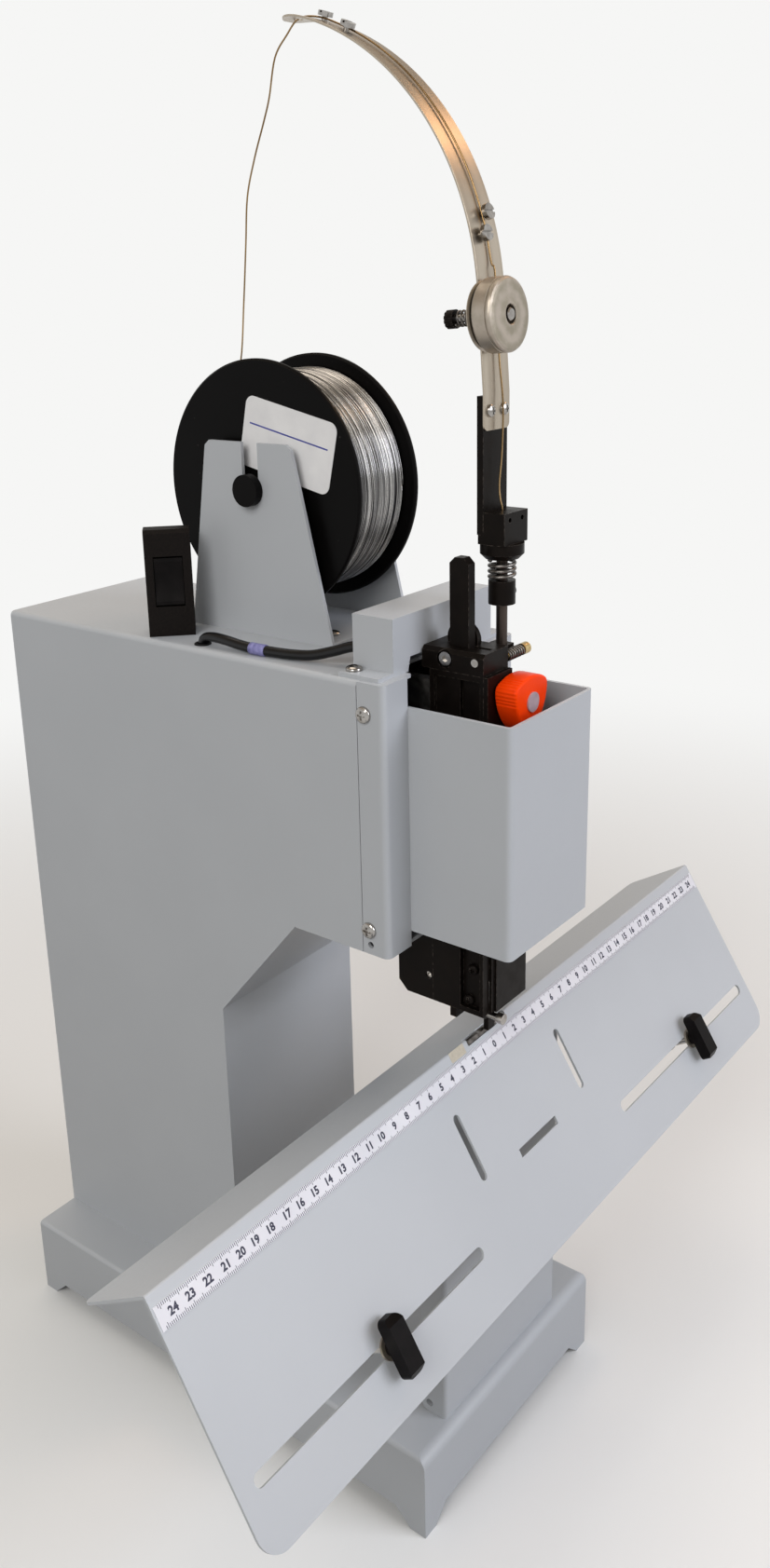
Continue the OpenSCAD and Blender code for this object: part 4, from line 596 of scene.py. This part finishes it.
random.seed(11)
sway = [random.uniform(0, 2 * math.pi) for _ in range(3)]
lift_mm = [random.uniform(-0.4, 0.2) for _ in range(roll_turns + 2)]
rows = []
for count, in_mm, strays in ((roll_turns, laid_in_mm, False), (stray_turns, stray_in_mm, True)):
    line = []
    for i in range(count * turn_steps + 1):
        t = i / turn_steps
        a = 2 * math.pi * t
        wander_mm = 0.3 * math.sin(0.83 * a + sway[0]) + 0.22 * math.sin(0.31 * a + sway[1])
        across_mm = (t / count - 0.5) * (roll_w_mm - 2 * roll_margin_mm)
        r_mm = roll_r_mm - in_mm
        if strays:
            across_mm = -across_mm - stray_swing * wander_mm
        else:
            across_mm += wander_mm
            r_mm += lift_mm[int(t)] + (lift_mm[int(t) + 1] - lift_mm[int(t)]) * (t % 1)
        reach_mm = roll_w_mm / 2 - flange_gap_mm
        across_mm = max(-reach_mm, min(reach_mm, across_mm))
        line.append(spool_axis + Vector((across_mm, -r_mm * math.cos(a), r_mm * math.sin(a))) / 1000)
    rows.append(line)
roll = tube_mesh("wire_roll", rows[0], strand_mm / 2000, tinned_wire_painted_bands, sides=6)
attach(roll, "spool")
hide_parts("wire_winding")
stray_row = tube_mesh("wire_roll_stray", rows[1], stray_strand_mm / 2000, tinned_wire_painted_bands, sides=6)
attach(stray_row, "spool")


# The label on the spool's left flange: a plain white card with round corners and one blue rule.
# It is stuck on a little askew. The card is smooth and bright, and its ink lies flat and matt.
label_w_mm = 62.5
label_h_mm = 37.5
label_r_mm = 5
label_t_mm = 0.25
label_fore_mm = 20.2
label_above_mm = 23.9
label_tilt = math.radians(12.5)
rule_w_mm = 54
rule_h_mm = 0.8
rule_r_mm = 0.2
rule_above_mm = 4.5
ink_mm = 0.05
label_step = Vector((0, -label_fore_mm, label_above_mm)) / 1000
label_middle = Vector((spool_low.x, spool_axis.y, spool_axis.z)) + label_step
label_along = Vector((0, -math.cos(label_tilt), -math.sin(label_tilt)))
label_up = Vector((0, -math.sin(label_tilt), math.cos(label_tilt)))

label_card = grained_finish("white_card", "E2E1E2", "EDECEC", grain_mm=14, rough=(0.42, 0.55))
blue_ink = grained_finish("blue_printing_ink", "33388A", "3E449B", grain_mm=3, rough=(0.5, 0.6))
label = thin_plate("spool_label", rounded_rectangle(label_w_mm, label_h_mm, label_r_mm), label_middle,
                   label_along, label_up, label_t_mm, label_card)
rule_step = label_up * rule_above_mm + label_along.cross(label_up) * label_t_mm
rule = thin_plate("spool_label_rule", rounded_rectangle(rule_w_mm, rule_h_mm, rule_r_mm, steps=2),
                  label_middle + rule_step / 1000, label_along, label_up, ink_mm, blue_ink)
for piece in (label, rule):
    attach(piece, "spool")


# The curved guide strip: rolled spring steel, polished lengthwise, so its lines run along it.
# It rises from the feed arm, bows back over the spool and ends in a level, round tip with the wire's eye.
strip_w_mm = 22
strip_t_mm = 1
strip_r_mm = 142
strip_up_mm = 46
bow_rear_mm = 148.57
bow_height_mm = 638.1
foot_r_mm = 3
tip_lean = 73
tip_mm = 17.3
tip_turn = math.radians(26)
tip_steps = 36
eye_mm = 4.4
eye_in_mm = 7
strip_middle = Vector((tube_axis.x, tube_axis.y + bow_rear_mm / 1000, bow_height_mm / 1000))


def on_strip(lean_deg, out_mm):
    """A point over the strip's curve at a lean, off its middle by some millimetres."""
    a = math.radians(lean_deg)
    r = (strip_r_mm + out_mm) / 1000
    return strip_middle + Vector((0, -r * math.cos(a), r * math.sin(a)))


strip_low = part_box("guide_strip")[0]
foot_lean = math.degrees(arm_lean)
curve_foot = on_strip(foot_lean, 0)
strip_foot = Vector((curve_foot.x, strip_low.y + strip_t_mm / 2000, strip_low.z))
straight_top = Vector((strip_foot.x, strip_foot.y, curve_foot.z - strip_up_mm / 1000))
half_w_mm = strip_w_mm / 2
# Each row across the strip: its middle, half of its width, and half of the eye's opening
strip_rows = []
for up_mm in (0, 0.2, 0.6, 1.2, 2, foot_r_mm):
    corner = foot_r_mm - math.sqrt(foot_r_mm ** 2 - (foot_r_mm - up_mm) ** 2)
    strip_rows.append((strip_foot + Vector((0, 0, up_mm / 1000)), half_w_mm - corner, 0))
strip_rows.append((straight_top, half_w_mm, 0))
strip_rows += [(on_strip(a, 0), half_w_mm, 0) for a in [foot_lean] + list(range(6, tip_lean))]
spot = on_strip(tip_lean, 0)
for k in range(tip_steps):
    to_end_mm = tip_mm * (1 - k / tip_steps)
    inside = max(half_w_mm - to_end_mm, 0)
    eye_half = math.sqrt(max((eye_mm / 2) ** 2 - (to_end_mm - eye_in_mm) ** 2, 0))
    strip_rows.append((spot, math.sqrt(half_w_mm ** 2 - inside ** 2), eye_half))
    if to_end_mm > eye_in_mm:
        eye = spot
    rise = math.radians(90 - tip_lean) - tip_turn * (k + 0.5) / tip_steps
    spot = spot + Vector((0, math.cos(rise), math.sin(rise))) * tip_mm / 1000 / tip_steps
vertices = []
faces = []
for i, (middle, half_w, half_eye) in enumerate(strip_rows):
    vertices += [middle + Vector((x / 1000, 0, 0)) for x in (-half_w, -half_eye, half_eye, half_w)]
    if i:
        first = (i - 1) * 4
        faces += [(first + k, first + k + 1, first + k + 5, first + k + 4) for k in (0, 2)]


def join_doubles(piece, outward=False):
    """Joins the points of a mesh that lie on one another and, where asked, turns its faces outward."""
    joined = bmesh.new()
    joined.from_mesh(piece.data)
    bmesh.ops.remove_doubles(joined, verts=joined.verts, dist=1e-6)
    if outward:
        bmesh.ops.recalc_face_normals(joined, faces=joined.faces)
    joined.to_mesh(piece.data)
    joined.free()


spring_strip = grained_finish("polished_spring_steel", "A39889", "B5AB9C", grain_mm=5, rough=(0.26, 0.34),
                              metallic=1.0, along=(1, 0.04, 0.04))
strip = mesh_object("guide_strip_ribbon", vertices, faces, spring_strip)
join_doubles(strip)
sheet = strip.modifiers.new("sheet", "SOLIDIFY")
sheet.thickness = strip_t_mm / 1000
sheet.offset = 0
soften_edges(strip, fitting_edge_mm)
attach(strip, "frame")
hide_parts("guide_strip")


# The stitching wire runs off the spool, up to the strip's eye, down along the strip, between the
# tension discs and into the feed tube. It is tinned steel wire, springy enough to stand in a free bow.
wire_mm = 0.9
wire_clear_mm = 1
discs_aside_mm = 0.6
discs_rear_mm = 6.13
discs_height_mm = 636.7
discs_gap_out_mm = 2.25
discs_place = Vector((tube_axis.x + discs_aside_mm / 1000, tube_axis.y + discs_rear_mm / 1000,
                      discs_height_mm / 1000))


def between_discs(up_mm):
    """A point in the gap between the discs, above or below their axis."""
    up = Vector((0, math.sin(arm_lean), math.cos(arm_lean)))
    return discs_place + (Vector(discs_axis) * discs_gap_out_mm + up * up_mm) / 1000


leave_x_mm = 12
leave_over_mm = 1.6
leave_lean = math.radians(40)
leave_r = (roll_r_mm + leave_over_mm) / 1000
leaves = Vector((leave_x_mm / 1000, spool_axis.y + leave_r * math.cos(leave_lean),
                 spool_axis.z + leave_r * math.sin(leave_lean)))
wire_route = [leaves, leaves + Vector((0, -9, 11)) / 1000]
# The free bow from the roll toward the eye, as steps from the roll's axis to the rear and upward
wire_route += [Vector((x / 1000, spool_axis.y + y / 1000, spool_axis.z + z / 1000)) for x, y, z in (
    (12, 30.5, 64), (11.5, 25.5, 95), (11, 21.5, 124), (10.5, 18.3, 147), (10, 11.6, 165), (10, 4, 182))]
# The hook into the eye, as steps from the eye to the rear and upward
wire_route += [eye + Vector((0, y / 1000, z / 1000)) for y, z in (
    (21.4, -32.8), (16.6, -15.5), (8.5, -6.5), (0, 0))]
# Down along the strip, as leans on its curve, and between the discs
wire_route += [on_strip(a, strip_t_mm / 2 + wire_clear_mm) for a in (
    72, 66, 60, 54, 48, 42, 36, 30, 24, 16, 9)]
wire_route += [between_discs(up) for up in (20, 0, -20)]
# From the discs down through the holder, as steps from its top on the feed tube's axis
holder_mouth = Vector((tube_axis.x, tube_axis.y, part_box("arm_holder")[1].z))
wire_route += [holder_mouth + Vector((x, y, z)) / 1000 for x, y, z in (
    (1, 0.6, 50.3), (0.6, 0.8, 28), (-0.6, 1.4, 13), (-0.8, 0.8, 6), (0, 0, 0), (0, 0, -9.5), (0, 0, -23.2))]


def through(points, steps):
    """A smooth line through given points, with a number of steps from one point to the next."""
    spots = [Vector(p) for p in points]
    line = []
    for i in range(len(spots) - 1):
        a = spots[max(i - 1, 0)]
        b = spots[i]
        c = spots[i + 1]
        d = spots[min(i + 2, len(spots) - 1)]
        for s in range(steps):
            t = s / steps
            line.append(0.5 * (2 * b + (c - a) * t + (2 * a - 5 * b + 4 * c - d) * t * t
                               + (3 * b - a - 3 * c + d) * t * t * t))
    return line + [spots[-1]]


def cord_curve(name, line, diameter, material):
    """A round cord along a line of points, as a curve with closed ends."""
    data = bpy.data.curves.new(name, "CURVE")
    data.dimensions = "3D"
    data.bevel_depth = diameter / 2
    data.bevel_resolution = 4
    data.use_fill_caps = True
    spline = data.splines.new("POLY")
    spline.points.add(len(line) - 1)
    for point, spot in zip(spline.points, line):
        point.co = (*spot, 1)
    data.materials.append(material)
    made = bpy.data.objects.new(name, data)
    scene.collection.objects.link(made)
    return made


wire_line = through(wire_route, steps=6)
# Off the roll the wire mirrors the warm room, so its colour is painted browner than the roll's, as a painted
# reflection
drawn_wire_painted_warm = grained_finish("steel_wire_painted_warm_reflection", "6A5334", "A58A63", grain_mm=40, rough=(0.2, 0.34),
                            metallic=1.0)
wire = cord_curve("stitching_wire_run", wire_line, wire_mm / 1000, drawn_wire_painted_warm)
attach(wire, "frame")
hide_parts("stitching_wire")


# The sensor's lead comes up through the body's top, lies along it and goes into the sensor cover.
# It has a glossy black PVC jacket, a short matt violet heat-shrink sleeve, and a dull rubber grommet
# at its hole.
lead_mm = 5.5
hole_x_mm = -49
hole_rear_mm = 11.5
sleeve_from_mm = 34.5
sleeve_to_mm = 45.6
sleeve_wall_mm = 0.4
grommet_gap_mm = 0.15
grommet_rim_mm = 1.7
top_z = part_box("body_shell")[1].z
bar_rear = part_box("sensor_cover")[1].y
lead_hole = Vector((hole_x_mm / 1000, spool_axis.y + hole_rear_mm / 1000, top_z))
# Steps from the hole to the front, then from the sensor cover's rear wall, in millimetres
lead_route = [lead_hole + Vector((x, y, z)) / 1000 for x, y, z in (
    (0, 0, -9), (0, 0, -1), (0, -1.8, 3.4), (0, -8, 5), (-0.4, -18, 4.8), (-0.4, -27, 3.8), (0, -37, 3.1),
    (1, -49, 2.9))]
lead_route += [Vector((x / 1000, bar_rear + y / 1000, top_z + z / 1000)) for x, y, z in (
    (-46.5, 37, 3), (-44.5, 25, 4), (-42, 14, 7), (-39.5, 5, 10), (-38, -1, 11), (-38, -8, 11))]

pvc_jacket = grained_finish("black_pvc_jacket", "070708", "0E0E10", grain_mm=9, rough=(0.16, 0.28), shine=0.3)
shrink_sleeve = grained_finish("violet_shrink_sleeve", "5C5A92", "8E8CBE", grain_mm=2.5, rough=(0.36, 0.44))
grommet_rubber = grained_finish("grommet_rubber", "0A0A0B", "141415", grain_mm=4, rough=(0.6, 0.75),
                                shine=0.2)
lead_line = through(lead_route, steps=6)
lead = cord_curve("sensor_lead_run", lead_line, lead_mm / 1000, pvc_jacket)
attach(lead, "frame")
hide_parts("sensor_lead")

sleeve_line = [p for p in lead_line if sleeve_from_mm < (lead_hole.y - p.y) * 1000 < sleeve_to_mm]
sleeve = tube_mesh("lead_sleeve", sleeve_line, (lead_mm / 2 + sleeve_wall_mm) / 1000, shrink_sleeve)
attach(sleeve, "frame")


def turned_ring(name, profile_mm, middle, material, steps=40):
    """A ring turned about an upright axis from a closed profile of radius and height pairs."""
    n = len(profile_mm)
    vertices = []
    faces = []
    for k in range(steps):
        a = 2 * math.pi * k / steps
        vertices += [middle + Vector((r * math.cos(a), r * math.sin(a), h)) / 1000 for r, h in profile_mm]
        nxt = (k + 1) % steps
        faces += [(k * n + i, nxt * n + i, nxt * n + (i + 1) % n, k * n + (i + 1) % n) for i in range(n)]
    return mesh_object(name, vertices, faces, material)


lip = lead_mm / 2 + grommet_gap_mm
rim = lip + grommet_rim_mm
grommet_profile = [(lip, 0.02), (rim, 0.02), (rim, 0.5), (rim - 0.6, 0.95), (lip, 0.6)]
grommet = turned_ring("lead_grommet", grommet_profile, lead_hole, grommet_rubber)
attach(grommet, "frame")


# The switch, the stops' T-handles and the sockets at the rear: moulded black ABS.
# A fine spark grain on the housings scatters the light, so that they look brownish black and barely shine.
# The rocker and the handles are moulded smooth, and show a soft light along their edges.
# The real grain is about a fifth of a millimetre. It is drawn coarser, so that it shows.
grained_abs = grained_finish("grained_black_abs", "0F0C0B", "181412", grain_mm=1.2, rough=(0.5, 0.62),
                             relief_mm=0.05, shine=0.07)
for name in ("switch_housing", "rear_sockets"):
    finish_node(name, grained_abs, edge_mm=0.6)
smooth_abs = grained_finish("smooth_black_abs", "0A0808", "120F0F", grain_mm=8, rough=(0.32, 0.44),
                            shine=0.07)
finish_node("switch_rocker", smooth_abs, edge_mm=0.5)
for name in ("stop_knob_left", "stop_knob_right"):
    finish_node(name, smooth_abs, edge_mm=0.8)


# The orange knob on the head's front: three bulging sides with rounded corners, one of them down.
# It is moulded in bright ABS with grip ribs round its corners, and turns a shaft with a plain, dull grey cap.
knob_low, knob_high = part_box("adjust_knob")
shaft_low, shaft_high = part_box("knob_shaft")
knob_axis = (shaft_low + shaft_high) / 2
knob_corner_mm = 17.6
knob_flat_mm = 13
knob_depth_mm = (knob_high.y - knob_low.y) * 1000
knob_round_mm = 1.6
knob_round_steps = 6
knob_crown_mm = 0.15
knob_crown_in_mm = 4
knob_steps = 216
side_bow_mm = 30
corner_sharpness = 22
rib_count = 9
rib_mm = 0.5
rib_reach = math.radians(30)
orange_hex = "FA4303"
orange_deep_hex = "EE3A02"


def knob_outline(a):
    """Distance from the knob's middle to its side in one direction, in millimetres."""
    offset = side_bow_mm - knob_flat_mm
    sides = []
    for flat in (90, 210, 330):
        turn = a - math.radians(flat)
        sides.append(math.sqrt(side_bow_mm ** 2 - (offset * math.sin(turn)) ** 2) - offset * math.cos(turn))
    sides.append(knob_corner_mm)
    return sum(s ** -corner_sharpness for s in sides) ** (-1 / corner_sharpness)


def rib_depth(a):
    """Depth of the grip ribs at one direction: they lie round each corner."""
    turns = [(a - math.radians(corner) + math.pi) % (2 * math.pi) - math.pi for corner in (30, 150, 270)]
    nearest = min(abs(turn) for turn in turns)
    if nearest > rib_reach:
        return 0.0
    return rib_mm * (0.5 - 0.5 * math.cos(2 * math.pi * rib_count * (nearest + rib_reach) / (2 * rib_reach)))


# Each layer: how far it stands from the back, how far its edge draws in, and how deep its ribs are
layers = [(0, 1.2, 0), (0.5, 0.4, 0.6), (1.2, 0, 1), (knob_depth_mm - knob_round_mm - 0.4, 0, 1)]
for k in range(1, knob_round_steps + 1):
    a = math.pi / 2 * k / knob_round_steps
    out_mm = knob_depth_mm - knob_round_mm * (1 - math.sin(a))
    layers.append((out_mm, knob_round_mm * (1 - math.cos(a)), 1 - k / knob_round_steps))
layers.append((knob_depth_mm + knob_crown_mm, knob_round_mm + knob_crown_in_mm, 0))
vertices = []
faces = []
for i, (out_mm, draw_in_mm, ribs) in enumerate(layers):
    y = knob_high.y - out_mm / 1000
    for k in range(knob_steps):
        a = 2 * math.pi * k / knob_steps
        r = (knob_outline(a) - draw_in_mm - ribs * rib_depth(a)) / 1000
        vertices.append(Vector((knob_axis.x + r * math.cos(a), y, knob_axis.z + r * math.sin(a))))
    if i:
        first = (i - 1) * knob_steps
        for k in range(knob_steps):
            n = (k + 1) % knob_steps
            faces.append((first + k, first + n, first + knob_steps + n, first + knob_steps + k))
faces.append(tuple(range(knob_steps - 1, -1, -1)))
faces.append(tuple(range(len(vertices) - knob_steps, len(vertices))))
orange_abs = grained_finish("orange_abs", orange_deep_hex, orange_hex, grain_mm=12, rough=(0.3, 0.42),
                            shine=0.1)
knob = mesh_object("orange_knob", vertices, faces, orange_abs)
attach(knob, "knob")
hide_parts("adjust_knob")
grey_cap = grained_finish("grey_nylon_cap", "A08E95", "B09EA4", grain_mm=4, rough=(0.4, 0.5))
finish_node("knob_shaft", grey_cap, edge_mm=0.3)


# The small screw at the head's right, with a spring on it: turned from brass and screwed into the head.
# It is slightly tarnished, so that its shine is yellow and uneven.
turned_brass = grained_finish("turned_brass", "A98F5B", "CDB98A", grain_mm=2.5, rough=(0.22, 0.36),
                              metallic=1.0)
finish_node("side_screw", turned_brass, edge_mm=0.3)


# The ruler along the table's ridge: white plastic film with a soft gloss, stuck on, with millimetre strokes
# on both edges and a number at each centimetre, counted from the middle to both ends.
# A scrap of matt paper tape is stuck just below the ridge.
ridge_rear_mm = 12.9
ridge_height_mm = 268
table_tilt = math.radians(58)
film_from_mm = 6
film_w_mm = 10.5
film_t_mm = 0.3
film_half_mm = 248
digit_mm = 5.1
digit_bold_mm = 0.2
stroke_mm = 1.5
long_stroke_mm = 2.4
stroke_w_mm = 0.28
stroke_in_mm = 0.02
stroke_margin_mm = 2
last_number = 24
tape_w_mm = 13
tape_h_mm = 5.4
tape_t_mm = 0.12
tape_r_mm = 0.4
tape_x_mm = -28.5
tape_down_mm = 2.9
ridge = Vector((0, post_front + ridge_rear_mm / 1000, ridge_height_mm / 1000))
down_table = Vector((0, -math.cos(table_tilt), -math.sin(table_tilt)))
out_of_table = Vector((0, -math.sin(table_tilt), math.cos(table_tilt)))

ruler_film = grained_finish("white_pvc_film", "D3D2D8", "DDDCE1", grain_mm=30, rough=(0.4, 0.5))
finish_node("ruler", ruler_film)
printing_ink = grained_finish("dark_printing_ink", "24243A", "2A2A40", grain_mm=5, rough=(0.5, 0.6))


def on_table(x_mm, down_mm, out_mm):
    """A point over the table's front plate, measured from the middle of the ridge."""
    return ridge + (Vector((x_mm, 0, 0)) + down_table * down_mm + out_of_table * out_mm) / 1000


def number_shape(text):
    """One number as a thin closed mesh about its own middle, from Blender's own font."""
    letters = bpy.data.curves.new("ruler_number", "FONT")
    letters.body = text
    letters.size = digit_mm / 1000
    letters.extrude = ink_mm / 2000
    letters.offset = digit_bold_mm / 1000
    letters.resolution_u = 2
    letters.align_x = "CENTER"
    carrier = bpy.data.objects.new("ruler_number", letters)
    scene.collection.objects.link(carrier)
    shaped = bpy.data.meshes.new_from_object(carrier.evaluated_get(bpy.context.evaluated_depsgraph_get()))
    bpy.data.objects.remove(carrier)
    return shaped


vertices = []
faces = []
film_top_mm = film_t_mm + ink_mm / 2
for value in range(last_number + 1):
    shape = number_shape(str(value))
    middle = sum((v.co for v in shape.vertices), Vector()) / len(shape.vertices)
    heights = [v.co.y for v in shape.vertices]
    level = (min(heights) + max(heights)) / 2
    for side in ((1, -1) if value else (1,)):
        first = len(vertices)
        for v in shape.vertices:
            x_mm = side * value * 10 + (v.co.x - middle.x) * 1000
            down_mm = film_from_mm + film_w_mm / 2 - (v.co.y - level) * 1000
            vertices.append(on_table(x_mm, down_mm, film_top_mm + v.co.z * 1000))
        faces += [tuple(first + i for i in polygon.vertices) for polygon in shape.polygons]
numbers = mesh_object("ruler_numbers", vertices, faces, printing_ink, smooth=False)

vertices = []
faces = []
block_faces = ((0, 1, 3, 2), (4, 6, 7, 5), (0, 4, 5, 1), (2, 3, 7, 6), (0, 2, 6, 4), (1, 5, 7, 3))
film_to_mm = film_from_mm + film_w_mm
last_stroke = film_half_mm - stroke_margin_mm
for mm in range(-last_stroke, last_stroke + 1):
    long_mm = long_stroke_mm if mm % 5 == 0 else stroke_mm
    for low, high in ((film_from_mm + stroke_in_mm, film_from_mm + long_mm),
                      (film_to_mm - long_mm, film_to_mm - stroke_in_mm)):
        first = len(vertices)
        vertices += [on_table(mm + x, down, film_t_mm + out) for x in (-stroke_w_mm / 2, stroke_w_mm / 2)
                     for down in (low, high) for out in (0, ink_mm)]
        faces += [tuple(first + i for i in face) for face in block_faces]
strokes = mesh_object("ruler_strokes", vertices, faces, printing_ink, smooth=False)
for piece in (numbers, strokes):
    join_doubles(piece, outward=True)
    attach(piece, "frame")

beige_tape = grained_finish("beige_paper_tape", "B0A795", "C2BAA9", grain_mm=3, rough=(0.55, 0.7))
tape_outline = rounded_rectangle(tape_w_mm, tape_h_mm, tape_r_mm, steps=2)
tape = thin_plate("ridge_tape", tape_outline, on_table(tape_x_mm, tape_down_mm, 0), Vector((1, 0, 0)),
                  -down_table, tape_t_mm, beige_tape)
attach(tape, "frame")
